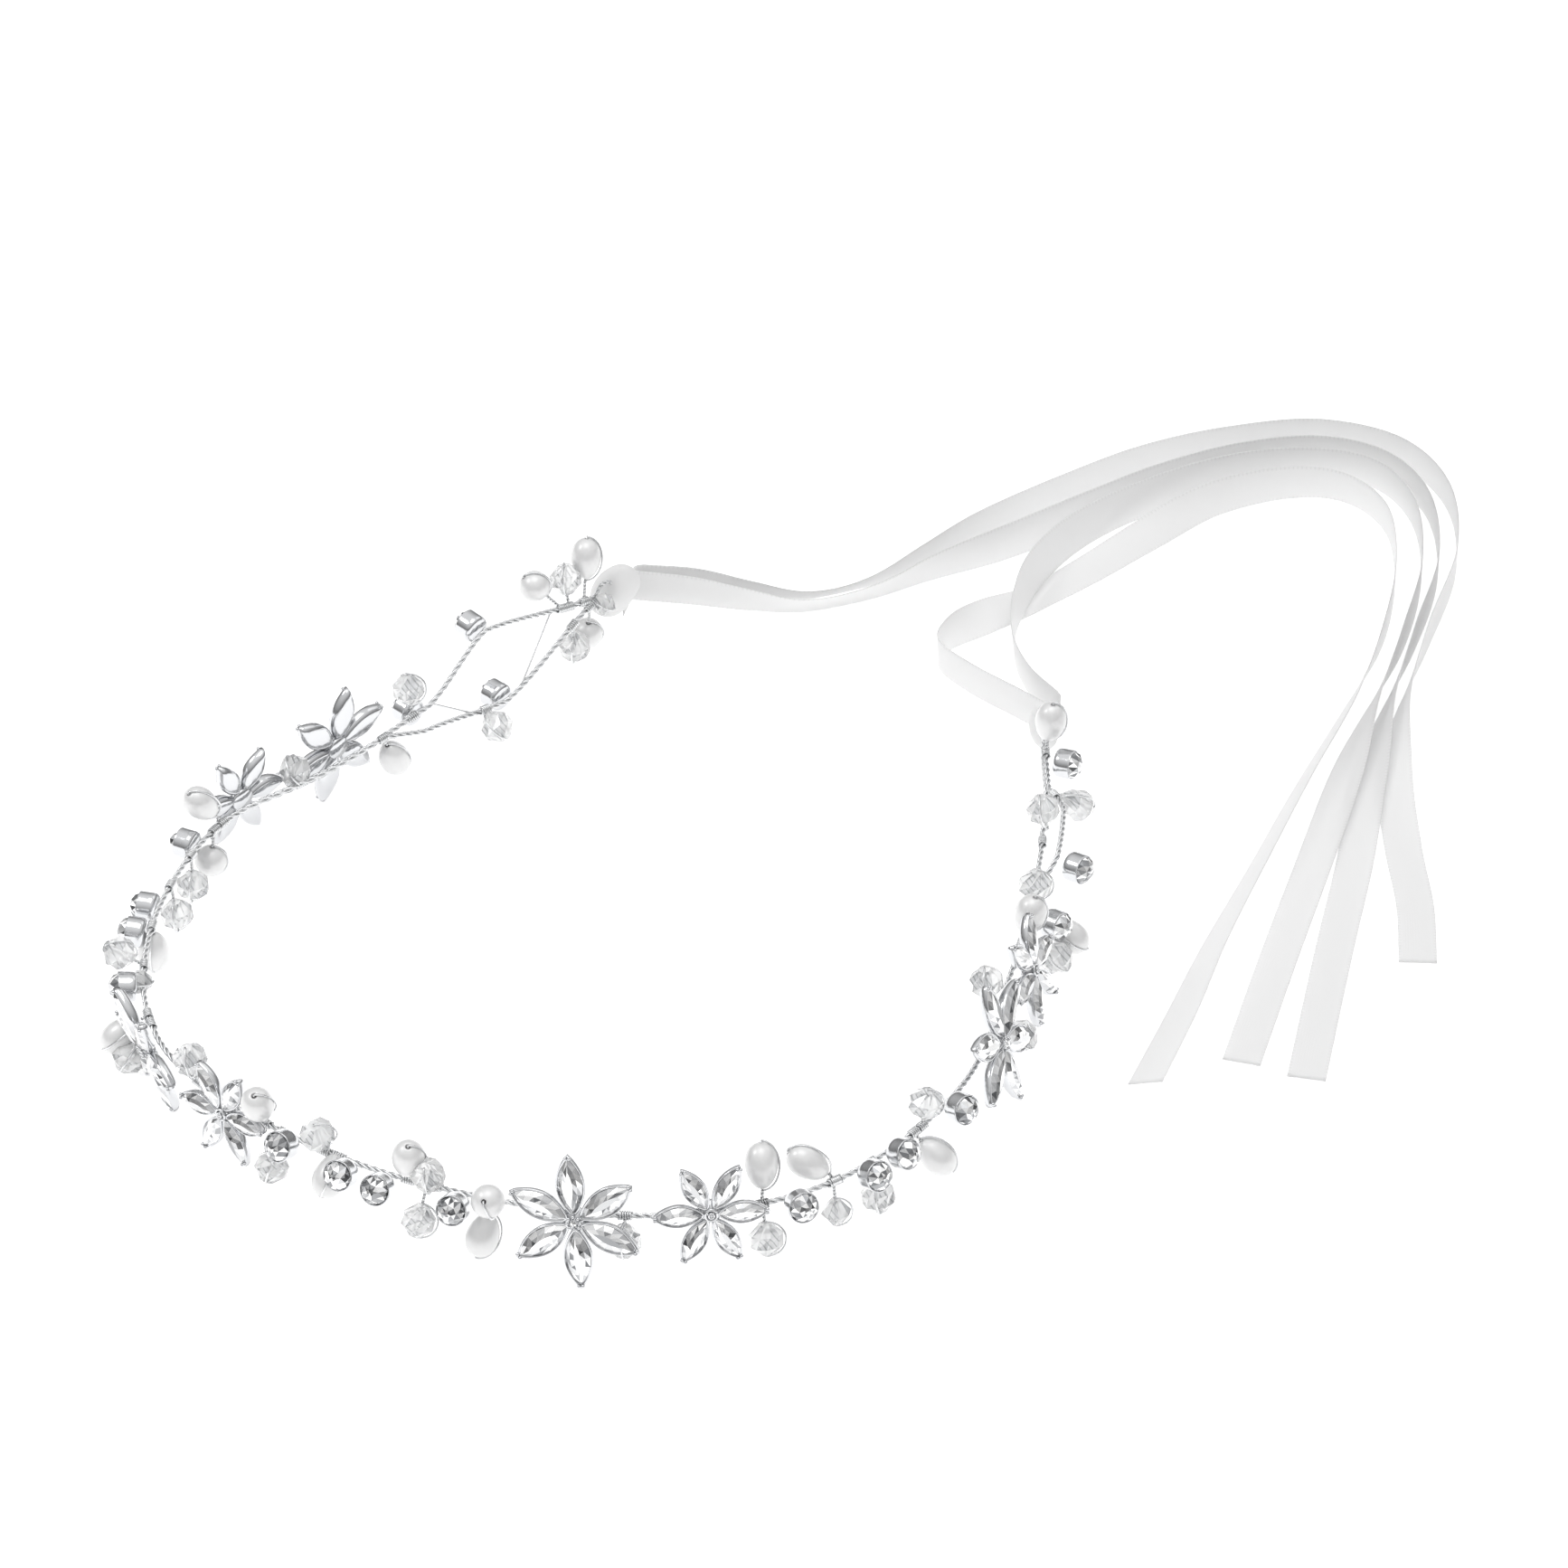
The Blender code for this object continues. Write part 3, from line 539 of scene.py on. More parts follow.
silver_wire = plated_metal("silver_plated_wire", "#dfe0e1", 0.22, 0.8 * MM, 0.10)
silver_casting = plated_metal("silver_plated_casting", "#d4d5d7", 0.09, 1.6 * MM, 0.15)

# %% [markdown]
# ## Twisted wire
#
# The vine is three wires twisted into a rope.  Each strand is a helix round the
# middle line, and its own round section is carried along that helix.  The
# radius from the middle line to the strand is a ready-made cross direction for
# the section, so no frame has to be carried from point to point.

# %% Wire surfaces
STRAND_RADIUS = 0.28 * MM
STRANDS = 3
TWIST_PITCH = 5.4 * MM
FINE_RADIUS = 0.20 * MM
FINE_PITCH = 1.5 * MM


def tube(path, radius, cross, sides=8, caps=True):
    """A round section carried along a path; cross is a direction off the path, for each point or for all."""
    ahead = unit(np.gradient(path, axis=0))
    one = unit(np.cross(ahead, np.broadcast_to(cross, path.shape)))
    two = np.cross(ahead, one)
    angle = np.arange(sides) * 2 * np.pi / sides
    ring = np.cos(angle)[:, None] * one[:, None] + np.sin(angle)[:, None] * two[:, None]
    return grid(path[:, None] + radius * ring, wrap_columns=True, caps=caps)


def rope(path, strand_radius, pitch, sides=7, strands=2, phase=0.0, cross=(0, 0, 1)):
    """Touching strands wound round a path: each one's middle turns once in each pitch, off the path by the
    strand's radius over the sine of half the angle between strands."""
    lay_radius = strand_radius / np.sin(np.pi / strands)
    ahead = unit(np.gradient(path, axis=0))
    one = unit(np.cross(ahead, np.broadcast_to(cross, path.shape)))
    two = np.cross(ahead, one)
    surfaces = []
    for strand in range(strands):
        turn = (2 * np.pi * (lengths_along(path) / pitch + strand / strands) + phase)[:, None]
        spoke = np.cos(turn) * one + np.sin(turn) * two
        surfaces.append(tube(path + lay_radius * spoke, strand_radius, spoke, sides))
    return surfaces


def coil(path, coil_radius, pitch, wire_radius):
    """One wire wrapped round a path, turning once in each pitch."""
    fine = evenly(path, pitch / 12)
    ahead = unit(np.gradient(fine, axis=0))
    one = unit(np.cross(ahead, [0, 0, 1.0]))
    two = np.cross(ahead, one)
    turn = (2 * np.pi * lengths_along(fine) / pitch)[:, None]
    spoke = np.cos(turn) * one + np.sin(turn) * two
    return tube(fine + coil_radius * spoke, wire_radius, spoke, 6)


wire_surfaces = {}
for wire, runs in WIRE_RUNS.items():
    wire_surfaces[wire] = []
    for number, run in enumerate(runs):
        wire_surfaces[wire] += rope(run, STRAND_RADIUS, TWIST_PITCH, strands=STRANDS, phase=number)

# %% [markdown]
# Between the first two flowers, two twisted pairs run beside the vine, because
# the wires of both flowers are laid along it there.  Two fine wires also cross
# the open diamond of the left end, and each end closes in an eye.

# %% Extra strands and eyes
EYE_RADIUS = 2.6 * MM
LEFT_EYE_HEIGHT = 13.0
PAIRS_START, PAIRS_END = -172, -137
for offset, height in [(-0.9, 11.6), (0.5, 9.9)]:
    along = np.linspace(PAIRS_START, PAIRS_END, 141)
    spread = np.sin(np.pi * (along - PAIRS_START) / (PAIRS_END - PAIRS_START)) ** 0.5
    side_path = vine_place(along, offset * spread, VINE_HEIGHT + (height - VINE_HEIGHT) * spread)
    wire_surfaces["left_arm_wire"] += rope(side_path, STRAND_RADIUS * 0.9, TWIST_PITCH, phase=offset)


def straight_line(start, end, count=12):
    """Points of a straight line."""
    return start + (end - start) * np.linspace(0, 1, count)[:, None]


upper, lower = WIRE_RUNS["left_end_wire"]
for top_share, low_share in [(0.2, 0.42), (0.8, 0.64)]:
    top = upper[int(top_share * len(upper))]
    low = lower[int(low_share * len(lower))]
    wire_surfaces["left_end_wire"].append(tube(straight_line(top, low), FINE_RADIUS, (1, 0, 0), 6))

for wire, end, outwards in [("left_end_wire", LEFT_END, -1), ("right_end_wire", RIGHT_END, 1)]:
    height = LEFT_EYE_HEIGHT if outwards < 0 else VINE_HEIGHT
    ahead = unit(vine_place(end + outwards, 0, height) - vine_place(end, 0, height))[0]
    centre = vine_place(end, 0, height)[0] + ahead * EYE_RADIUS
    angle = np.linspace(0, 1.95 * np.pi, 60)[:, None]
    turn = centre - ahead * EYE_RADIUS * np.cos(angle) + np.array([0, 0, EYE_RADIUS]) * np.sin(angle)
    wire_surfaces[wire] += rope(turn, STRAND_RADIUS * 0.8, FINE_PITCH * 1.5, cross=np.cross(ahead, [0, 0, 1]))

# %% [markdown]
# ## Beads on stems
#
# A bead is threaded on a fine wire that comes up from the vine, passes through
# the hole, bends over the end and comes back down outside the bead, and the two
# ends are twisted together below it and wrapped round the vine.  The bead turns
# freely on its wire.  Its place and its axis are those of its joint.

# %% Bead sizes and places
# radius and half length, in mm
BEAD_SIZES = {"pearl": (3.1, 4.4), "round_pearl": (3.2, 3.2), "crystal": (3.4, 3.1), "bicone": (2.9, 2.8),
              "drop": (3.3, 4.6), "small_crystal": (2.4, 2.2)}
ROUND_PEARLS = ("pearl_2", "pearl_3", "pearl_6")
CRYSTAL_KINDS = {"crystal_6": "bicone", "crystal_9": "drop"}
BODY_OF_WIRE_SPAN = [(LEFT_END - 1, LEFT_SPLIT, "left_end_wire"), (LEFT_SPLIT, LEFT_BEND, "left_arm_wire"),
                     (LEFT_BEND, RIGHT_BEND, "front_wire"), (RIGHT_BEND, RIGHT_SPLIT, "right_arm_wire"),
                     (RIGHT_SPLIT, RIGHT_END, "right_end_wire")]
# beads that are set fast: name, kind, then along, out and up in mm
SET_BEADS = [
    ("set_pearl_1", "pearl", -97, 0, 4.9), ("set_pearl_2", "pearl", -70, 5.5, 7),
    ("set_pearl_3", "pearl", -12, 3, 8.5), ("set_pearl_4", "round_pearl", 20, 4, 14),
    ("set_pearl_5", "pearl", 176.5, 7.5, 6), ("set_crystal_1", "crystal", -228, 2.5, 20),
    ("set_crystal_2", "small_crystal", -235, -1.4, 12), ("set_crystal_3", "crystal", -228, 0.4, 4),
    ("set_crystal_4", "crystal", -198, -7, 3.8), ("set_crystal_5", "crystal", -151.5, 2, 13),
    ("set_crystal_6", "crystal", -120, 0, 3.6), ("set_crystal_7", "crystal", -110, -0.9, 4),
    ("set_crystal_8", "crystal", -67, 4.7, 4), ("set_crystal_9", "crystal", -46.5, 2, 18),
    ("set_crystal_10", "crystal", -24.5, 4, 5.5), ("set_crystal_11", "crystal", 8.2, 3, 16.3),
    ("set_crystal_12", "crystal", 44.5, 4, 8.3), ("set_crystal_13", "crystal", 93.5, 2, 4),
    ("set_crystal_14", "crystal", 141, -1.6, 21), ("set_crystal_15", "crystal", 143.5, 4.8, 7),
    ("set_crystal_16", "crystal", 170.5, 6.2, 5), ("set_crystal_17", "crystal", 202.3, -1.1, 16),
    ("set_crystal_18", "small_crystal", -80, 0.5, 11),
]


def bead_axes(axis):
    """Two directions across a bead's axis, the first one level."""
    level = unit(np.cross(axis, [0.0, 0.0, 1.0]) + [1e-6, 0, 0])
    return level, np.cross(axis, level)


def placed(profile_points, centre, axis):
    """Points given about Z at the origin, moved to a centre with Z along an axis."""
    level, other = bead_axes(axis)
    return centre + profile_points @ np.array([level, other, axis])


ALL_WIRE = np.vstack([run for runs in WIRE_RUNS.values() for run in runs])
STEM_STEP = 0.12 * MM
STEM_LIMIT = 18
SHORTEST_STEM = 0.6 * MM
LOOP_GAP = 0.25 * MM
TIP_GAP = 0.3 * MM
WRAP_PITCH = 0.45 * MM


def stem_foot(centre, axis):
    """Where a bead's axis, followed back, comes nearest to the vine's wires."""
    back = centre - axis * np.linspace(0.5, STEM_LIMIT, 120)[:, None] * MM
    apart = np.linalg.norm(back[:, None] - ALL_WIRE[None, ::4], axis=2)
    return back[np.unravel_index(np.argmin(apart), apart.shape)[0]]


def add_stem(wire, centre, axis, kind, foot, loop_side):
    """Stem, inner wire and outer loop of one bead, and the wraps where the stem leaves the vine."""
    radius, half = np.array(BEAD_SIZES[kind]) * MM
    top, bottom = centre + axis * (half + LOOP_GAP), centre - axis * (half + LOOP_GAP)
    side = unit(loop_side - axis * (loop_side @ axis))
    parts = wire_surfaces[wire]
    parts.append(tube(straight_line(bottom, top), FINE_RADIUS, side, 6))
    angle = np.linspace(0, np.pi, 24)[:, None]
    loop = centre + axis * np.cos(angle) * (half + TIP_GAP) + side * np.sin(angle) * (radius + LOOP_GAP)
    parts.append(tube(loop, FINE_RADIUS, np.cross(axis, side), 6))
    if np.linalg.norm(bottom - foot) > SHORTEST_STEM:
        stem = evenly(straight_line(foot, bottom), STEM_STEP)
        parts.extend(rope(stem, FINE_RADIUS, FINE_PITCH, 6, cross=side))
    nearest = np.argmin(np.linalg.norm(ALL_WIRE - foot, axis=1))
    wrap = ALL_WIRE[max(nearest - 5, 0):nearest + 6]
    if np.linalg.norm(np.diff(wrap, axis=0), axis=1).max() < 1 * MM:
        parts.append(coil(wrap, STRAND_RADIUS * 2.1 + FINE_RADIUS, WRAP_PITCH, FINE_RADIUS))


# %% [markdown]
# The pearls are plastic beads dipped in pearl essence: an egg shape with a
# flattened dimple at each hole.  The coat is a cool white, reflects softly like
# satin, and has a clear lacquer over it that adds one small sharp highlight.

# %% Pearl material
pearl_coat, tree, output = new_material("imitation_pearl")
place = add_node(tree, "ShaderNodeTexCoord")
cloud = add_node(tree, "ShaderNodeTexNoise", {"Scale": 1 / (2.2 * MM), "Detail": 3.0},
                 {"Vector": place.outputs["Object"]})
coat_colour = add_node(tree, "ShaderNodeMix", {"data_type": "RGBA", 6: hex_colour("#dddddd"),
                                               7: hex_colour("#ededed")}, {0: cloud.outputs[0]})
dips = add_node(tree, "ShaderNodeBump", {"Strength": 0.08, "Distance": 0.1 * MM},
                {"Height": cloud.outputs[0]})
nacre = add_node(tree, "ShaderNodeBsdfPrincipled",
                 {"Metallic": 0.25, "Roughness": 0.40, "Coat Weight": 0.6, "Coat Roughness": 0.10,
                  "Sheen Weight": 0.2},
                 {"Base Color": coat_colour.outputs[2], "Normal": dips.outputs[0]})
tree.links.new(nacre.outputs[0], output.inputs[0])

# %% [markdown]
# The clear beads are machine-cut glass.  Rows of flat facets run round the
# bead, and each row is turned half a facet from the next, so the faces are
# triangles.  Light crosses the glass and leaves it bright.  The grey facets,
# where a facet would send the eye to a dim part of the room, and the fine
# lines, where the far facets would show through, are painted reflection and
# painted refraction in the glass's colour.

# %% Cut glass material
# spacing of the painted grey lines that stand in for the far facets seen through the glass
PAINTED_LINE_SPACING = 0.9 * MM
# a wave texture of scale 1 repeats every 0.363 units along the diagonal
BAND_SCALE = 0.363
cut_glass, tree, output = new_material("clear_cut_glass")
# Painted reflection: each facet's colour runs from grey to white by the tone dealt to it, standing in for the
# part of the room it reflects.
glass_painted_tone = add_node(tree, "ShaderNodeAttribute", {"attribute_name": "painted_tone"})
painted_facet_shade = add_node(tree, "ShaderNodeMix", {"data_type": "RGBA", 6: hex_colour("#c2c4c6"),
                                               7: hex_colour("#ffffff")}, {0: glass_painted_tone.outputs["Fac"]})
place = add_node(tree, "ShaderNodeTexCoord")
# Painted refraction: diagonal grey bands in the colour stand in for the far facets seen through the glass.
painted_far_facet_bands = add_node(tree, "ShaderNodeTexWave",
                      {"bands_direction": "DIAGONAL", "Scale": BAND_SCALE / PAINTED_LINE_SPACING, "Distortion": 1.2,
                       "Detail": 0.0},
                      {"Vector": place.outputs["Object"]})
painted_refraction_lines = add_node(tree, "ShaderNodeMapRange", {"From Min": 0.74, "From Max": 0.95, "To Max": 0.75},
                      {"Value": painted_far_facet_bands.outputs["Fac"]})
painted_line_share = add_node(tree, "ShaderNodeMapRange", {"From Min": 0.78, "From Max": 0.5},
                       {"Value": glass_painted_tone.outputs["Fac"]})
painted_line_strength = add_node(tree, "ShaderNodeMath", {"operation": "MULTIPLY"},
                         {0: painted_refraction_lines.outputs[0], 1: painted_line_share.outputs[0]})
painted_lined_shade = add_node(tree, "ShaderNodeMix", {"data_type": "RGBA", 7: hex_colour("#8f9193")},
                       {0: painted_line_strength.outputs[0], 6: painted_facet_shade.outputs[2]})
body_of_glass = add_node(tree, "ShaderNodeBsdfPrincipled",
                         {"Roughness": 0.03, "IOR": 1.48, "Transmission Weight": 0.55, "Coat Weight": 0.5,
                          "Coat Roughness": 0.02}, {"Base Color": painted_lined_shade.outputs[2]})
clear_way = add_node(tree, "ShaderNodeBsdfTransparent", {"Color": hex_colour("#f4f4f4")})
ray = add_node(tree, "ShaderNodeLightPath")
glass_mix = add_node(tree, "ShaderNodeMixShader",
                     links={0: ray.outputs["Is Shadow Ray"], 1: body_of_glass.outputs[0],
                            2: clear_way.outputs[0]})
tree.links.new(glass_mix.outputs[0], output.inputs[0])

# %% Bead surfaces
HOLE_RADIUS = 0.5 * MM


def pearl_surface(kind):
    """A bored pearl about Z: radius = R sin(a) (1 - lean cos(a)), height = -H cos(a), with dimpled ends."""
    radius, half = np.array(BEAD_SIZES[kind]) * MM
    lean = 0.12 if kind == "pearl" else 0.0
    a = np.linspace(0.16, np.pi - 0.16, 26)
    around = radius * np.sin(a) * (1 - lean * np.cos(a))
    height = -half * np.cos(a)
    around = np.concatenate([[HOLE_RADIUS], around, [HOLE_RADIUS]])
    height = np.concatenate([[height[0] + 0.15 * MM], height, [height[-1] - 0.15 * MM]])
    return turned(around, height, 36)


def turned(around, height, sides, wrap=True, shift=0.0):
    """A profile turned about Z; wrapped, it closes on itself round a bore.  Each row is turned on from the
    one before by a share of a side."""
    rows = np.arange(len(around))[:, None] * shift
    angle = 2 * np.pi * (np.arange(sides)[None] + rows) / sides
    points = np.stack([around[:, None] * np.cos(angle), around[:, None] * np.sin(angle),
                       np.broadcast_to(height[:, None], angle.shape)], axis=-1)
    return grid(points, wrap_rows=wrap, wrap_columns=True, caps=not wrap)


def triangles(surface):
    """The surface with each four-sided face cut into two flat triangles."""
    points, faces = surface
    split_faces = []
    for face in faces:
        halves = [[face[0], face[1], face[2]], [face[0], face[2], face[3]]] if len(face) == 4 else [face]
        split_faces += halves
    return points, split_faces


# rows of corners as shares of the radius and of the half length, corners in a row, turn between rows
CUTS = {
    "crystal": ([0.36, 0.94, 0.94, 0.36], [-1.0, -0.36, 0.36, 1.0], 10, 0.5),
    "small_crystal": ([0.36, 0.94, 0.94, 0.36], [-1.0, -0.36, 0.36, 1.0], 8, 0.5),
    "bicone": ([0.30, 1.0, 0.30], [-1.0, 0.0, 1.0], 8, 0.5),
    "drop": ([0.30, 0.80, 1.0, 0.40], [-1.0, -0.3, 0.4, 1.0], 10, 0.5),
}


def crystal_surface(kind):
    """A cut bead about Z: rows of corners on its profile, each turned half a facet from the one before."""
    around, height, sides, shift = CUTS[kind]
    radius, half = np.array(BEAD_SIZES[kind]) * MM
    around, height = np.array(around) * radius, np.array(height) * half
    return triangles(turned(around, height, sides, wrap=False, shift=shift))


# %% Painted reflection tones of the facets
def set_painted_tones(piece, shares):
    """Paints each flat facet a reflection tone, which stands in for what the facet reflects or shows through
    it: dark, middle and bright ones are dealt out at random in given shares.
    """
    count = len(piece.data.polygons)
    pick = CHANCE.choice(3, size=count, p=shares)
    painted_tones = np.array([0.0, 0.34, 0.8])[pick] + np.array([0.25, 0.25, 0.2])[pick] * CHANCE.random(count)
    piece.data.attributes.new("painted_tone", "FLOAT", "FACE").data.foreach_set("value", painted_tones.astype(np.float32))


# %% Pearls and crystals
def add_bead(name, kind, centre, axis, body, replaced=()):
    """One bead: its surface about Z, placed on its stem."""
    pearl = "pearl" in kind
    points, faces = pearl_surface(kind) if pearl else crystal_surface(kind)
    surface = (placed(points, centre, axis), faces)
    bead = make_piece(name + "_bead", [surface], pearl_coat if pearl else cut_glass,
                      body, replaced, smooth=pearl)
    if not pearl:
        # the glass facets get painted reflection tones, mostly bright
        set_painted_tones(bead, [0.12, 0.28, 0.60])


def wire_at(along):
    """Name of the wire that holds a place along the vine."""
    return [wire for start, end, wire in BODY_OF_WIRE_SPAN if start <= along <= end][0]


for joint in frame["joints"]:
    bead = joint["child"]
    if not joint["name"].endswith("_spin"):
        continue
    centre, axis = np.array(joint["pos_m"]), unit(np.array(joint["axis"]))
    kind = "pearl" if bead.startswith("pearl") else CRYSTAL_KINDS.get(bead, "crystal")
    kind = "round_pearl" if bead in ROUND_PEARLS else kind
    foot = stem_foot(centre, axis)
    gaps = {wire: np.linalg.norm(np.vstack(runs) - foot, axis=1).min() for wire, runs in WIRE_RUNS.items()}
    sideways = sight_line(CAMERA_AZIMUTH + np.pi / 2, 0.2)
    add_stem(min(gaps, key=gaps.get), centre, axis, kind, foot, sideways)
    add_bead(bead, kind, centre, axis, bead, [bead])

for name, kind, along, out, up in SET_BEADS:
    centre = vine_place(along, out, up)[0]
    foot = vine_place(along, 0, VINE_HEIGHT)[0]
    if wire_at(along) == "left_end_wire":
        foot = ALL_WIRE[np.argmin(np.linalg.norm(ALL_WIRE - centre, axis=1))]
    axis = unit(centre - foot)
    add_stem(wire_at(along), centre, axis, kind, foot, np.array([0.3, -0.9, 0.3]))
    add_bead(name, kind, centre, axis, WIRE_BODIES[wire_at(along)])

for wire, surfaces in wire_surfaces.items():
    make_piece(wire + "_strands", surfaces, silver_wire, WIRE_BODIES[wire], [wire])
print("beads and wires are made")

# %% [markdown]
# ## Foiled stones
#
# The stones are glass with a mirror foil behind, so each facet shows either
# the bright room or a dark patch of it.  The facets are real: small flat
# triangles at different slopes.  What the eye sees inside the stone, the back
# facets through the front ones, is painted reflection: a tone kept on each
# triangle darkens or lightens its colour.

# %% Stone material
stone_glass, tree, output = new_material("foil_backed_glass")
# Painted reflection: a grey-to-white colour per facet, from the tone dealt to it, stands in for the back
# facets and the dim room seen in the foil.
painted_tone = add_node(tree, "ShaderNodeAttribute", {"attribute_name": "painted_tone"})
painted_stone_shade = add_node(tree, "ShaderNodeValToRGB", links={0: painted_tone.outputs["Fac"]})
ramp = painted_stone_shade.color_ramp
ramp.elements[0].color = hex_colour("#6b6d70")
ramp.elements[0].position = 0.05
ramp.elements[1].color = hex_colour("#ffffff")
ramp.elements[1].position = 0.8
ramp.elements.new(0.35).color = hex_colour("#c0c1c3")
foil = add_node(tree, "ShaderNodeBsdfPrincipled", {"Metallic": 0.85, "Roughness": 0.06, "Coat Weight": 1.0,
                                                   "Coat Roughness": 0.02},
                {"Base Color": painted_stone_shade.outputs[0]})
tree.links.new(foil.outputs[0], output.inputs[0])


# %% [markdown]
# ## Chaton cups
#
# A chaton is a round stone in a plain cup: a short tube of sheet metal, spun
# over at the rim to hold the stone.  A turned profile gives the wall and the
# thin rim.  The stone stands up out of the cup in three rows of facets that
# close on a low point.

# %% Frames of the flowers and cups
def cad_points(node):
    """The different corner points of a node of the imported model."""
    mesh = frame["nodes"][node].data
    points = np.empty(len(mesh.vertices) * 3)
    mesh.vertices.foreach_get("co", points)
    return np.unique(points.reshape(-1, 3).round(7), axis=0)


def ornament_frame(node, flat):
    """Middle of an ornament's back, and its axes: Z, out of the crown, is the way that its solid spreads
    least, or most if it is not flat."""
    points = cad_points(node)
    middle = points.mean(axis=0)
    _, spread = np.linalg.eigh(np.cov((points - middle).T))
    z_axis = spread[:, 0 if flat else 2]
    z_axis = z_axis * np.sign(z_axis[:2] @ middle[:2])
    x_axis = unit(np.cross([0.0, 0.0, 1.0], z_axis))
    y_axis = np.cross(z_axis, x_axis)
    back = middle + z_axis * ((points - middle) @ z_axis).min()
    return back, np.array([x_axis, y_axis, z_axis]), points


# %% Cups
cup_numbers = sorted(int(node.rsplit("_", 1)[1]) for node in frame["nodes"] if node.startswith("chaton_cup"))


def cup_surface():
    """A cup about Z: a closed profile down the wall, across the foot and back up inside the rim."""
    around = np.array([0.2, 2.1, 2.55, 2.85, 2.98, 3.0, 3.0, 3.02, 2.98, 2.84, 2.74, 2.74]) * MM
    height = np.array([0.0, 0.0, 0.12, 0.4, 0.9, 1.5, 3.3, 3.52, 3.64, 3.66, 3.52, 3.1]) * MM
    return turned(around, height, 40, wrap=False)


def chaton_surface():
    """A round cut stone about Z: rings of corners at the rim, the slope, the table and inside it, then a
    middle point above and one below."""
    angle = 2 * np.pi * np.arange(16) / 16
    half_angle = angle[::2] + np.pi / 8
    rings = []
    for radius, height, turn in [(2.74, 3.45, angle), (2.35, 4.45, half_angle), (1.55, 5.15, angle[::2]),
                                 (0.7, 5.5, half_angle)]:
        ring = [radius * np.cos(turn), radius * np.sin(turn), np.full_like(turn, height)]
        rings.append(np.stack(ring, axis=1))
    points = np.vstack(rings + [[[0, 0, 5.55], [0, 0, 2.6]]]) * MM
    k = np.arange(8)
    n = (k + 1) % 8
    r0, r1, r2 = 2 * k, 2 * k + 1, (2 * k + 2) % 16
    s, t, i = 16 + k, 24 + k, 32 + k
    t_next = 24 + n
    top, bottom = np.full(8, 40), np.full(8, 41)
    rows = [(r0, r1, s), (r1, r2, s), (r0, s, t), (s, r2, t_next), (s, t_next, t), (t, t_next, i),
            (t_next, 32 + n, i), (i, 32 + n, top), (r0, bottom, r1), (r1, bottom, r2)]
    return points, np.vstack([np.stack(row, axis=1) for row in rows]).tolist()


for number in cup_numbers:
    node = f"chaton_cup_{number}"
    back, axes, _ = ornament_frame(node, flat=False)
    body = frame["nodes"][node]["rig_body"]
    points, faces = cup_surface()
    cup = [(back + points @ axes, faces)]
    make_piece(f"cup_{number}", cup, silver_casting, body, [node])
    points, faces = chaton_surface()
    spin = 2 * np.pi * CHANCE.random()
    roll = np.array([[np.cos(spin), np.sin(spin), 0], [-np.sin(spin), np.cos(spin), 0], [0, 0, 1]])
    stone = make_piece(f"cup_{number}_stone", [(back + points @ roll @ axes, faces)], stone_glass,
                       body, smooth=False)
    # the cup stones get painted reflection tones, dark ones the most common
    set_painted_tones(stone, [0.38, 0.30, 0.32])
print(len(cup_numbers), "cups are made")

# %% [markdown]
# ## Flowers
#
# A flower is one casting: six boat-shaped cups round a hub, each with a pointed
# oval stone, called a navette, held by small ball claws at the tip.  The boat is
# a pointed oval outline, drawn in at the back and with a thin rim at the front.
# The large flowers have a small stone ringed by claws in the middle, and the
# small ones a plain ringed stud.

# %% Flower surfaces
PETALS = 6
LARGE_REACH, LARGE_PETAL = 13.3 * MM, 5.5 * MM
SMALL_REACH, SMALL_PETAL = 11.0 * MM, 4.5 * MM
HUB_REACH = 1.0 * MM
CLAW_INSET, CLAW_SIDE = 0.6 * MM, 0.38 * MM
CLAW_HEIGHT, CLAW_RADIUS = 2.35 * MM, 0.40 * MM


def navette_outline(start, end, width, count=40):
    """A pointed oval round Z: half width = width / 2 times sine to the power 0.8 of the way along."""
    way = np.concatenate([np.linspace(0, 1, count // 2 + 1), np.linspace(1, 0, count // 2 + 1)[1:-1]])
    side = np.concatenate([np.ones(count // 2 + 1), -np.ones(count // 2 - 1)])
    along = start + (end - start) * way
    across = width / 2 * np.sin(np.pi * way).clip(0) ** 0.8 * side
    return np.column_stack([across, along])


def ball(centre, radius, rows=6, columns=8):
    """A ball with closed poles: circles of latitude between two small caps."""
    a = np.linspace(0.25, np.pi - 0.25, rows)
    points, faces = turned(radius * np.sin(a), -radius * np.cos(a), columns, wrap=False)
    return points + centre, faces


def boat(reach, petal):
    """One boat-shaped cup along +Y: its outline scaled about its middle at each step up and over the rim."""
    outline = navette_outline(HUB_REACH, reach, petal)
    middle = outline.mean(axis=0)
    scale = np.array([0.35, 0.62, 0.82, 0.95, 1.0, 1.0, 0.95, 0.88, 0.86])
    height = np.array([0.0, 0.05, 0.3, 0.8, 1.4, 2.1, 2.2, 2.1, 1.6]) * MM
    flat = middle + (outline - middle)[None] * scale[:, None, None]
    points = np.dstack([flat, np.broadcast_to(height[:, None], flat.shape[:2])])
    return grid(points, wrap_columns=True, caps=True)


def navette(reach, petal):
    """The stone of one boat: three rings of corners from the girdle to a narrow table, cut into triangles."""
    outline = navette_outline(HUB_REACH + 0.35 * MM, reach - 0.35 * MM, petal * 0.86, 12)
    middle = outline.mean(axis=0)
    rings = []
    for across, along, height in [(1.0, 1.0, 1.7), (1.0, 1.0, 2.0), (0.62, 0.78, 2.75), (0.26, 0.52, 3.1)]:
        flat = middle + (outline - middle) * [across, along]
        rings.append(np.column_stack([flat, np.full(len(flat), height * MM)]))
    surface = grid(np.stack(rings), wrap_columns=True, caps=True)
    return triangles(surface)


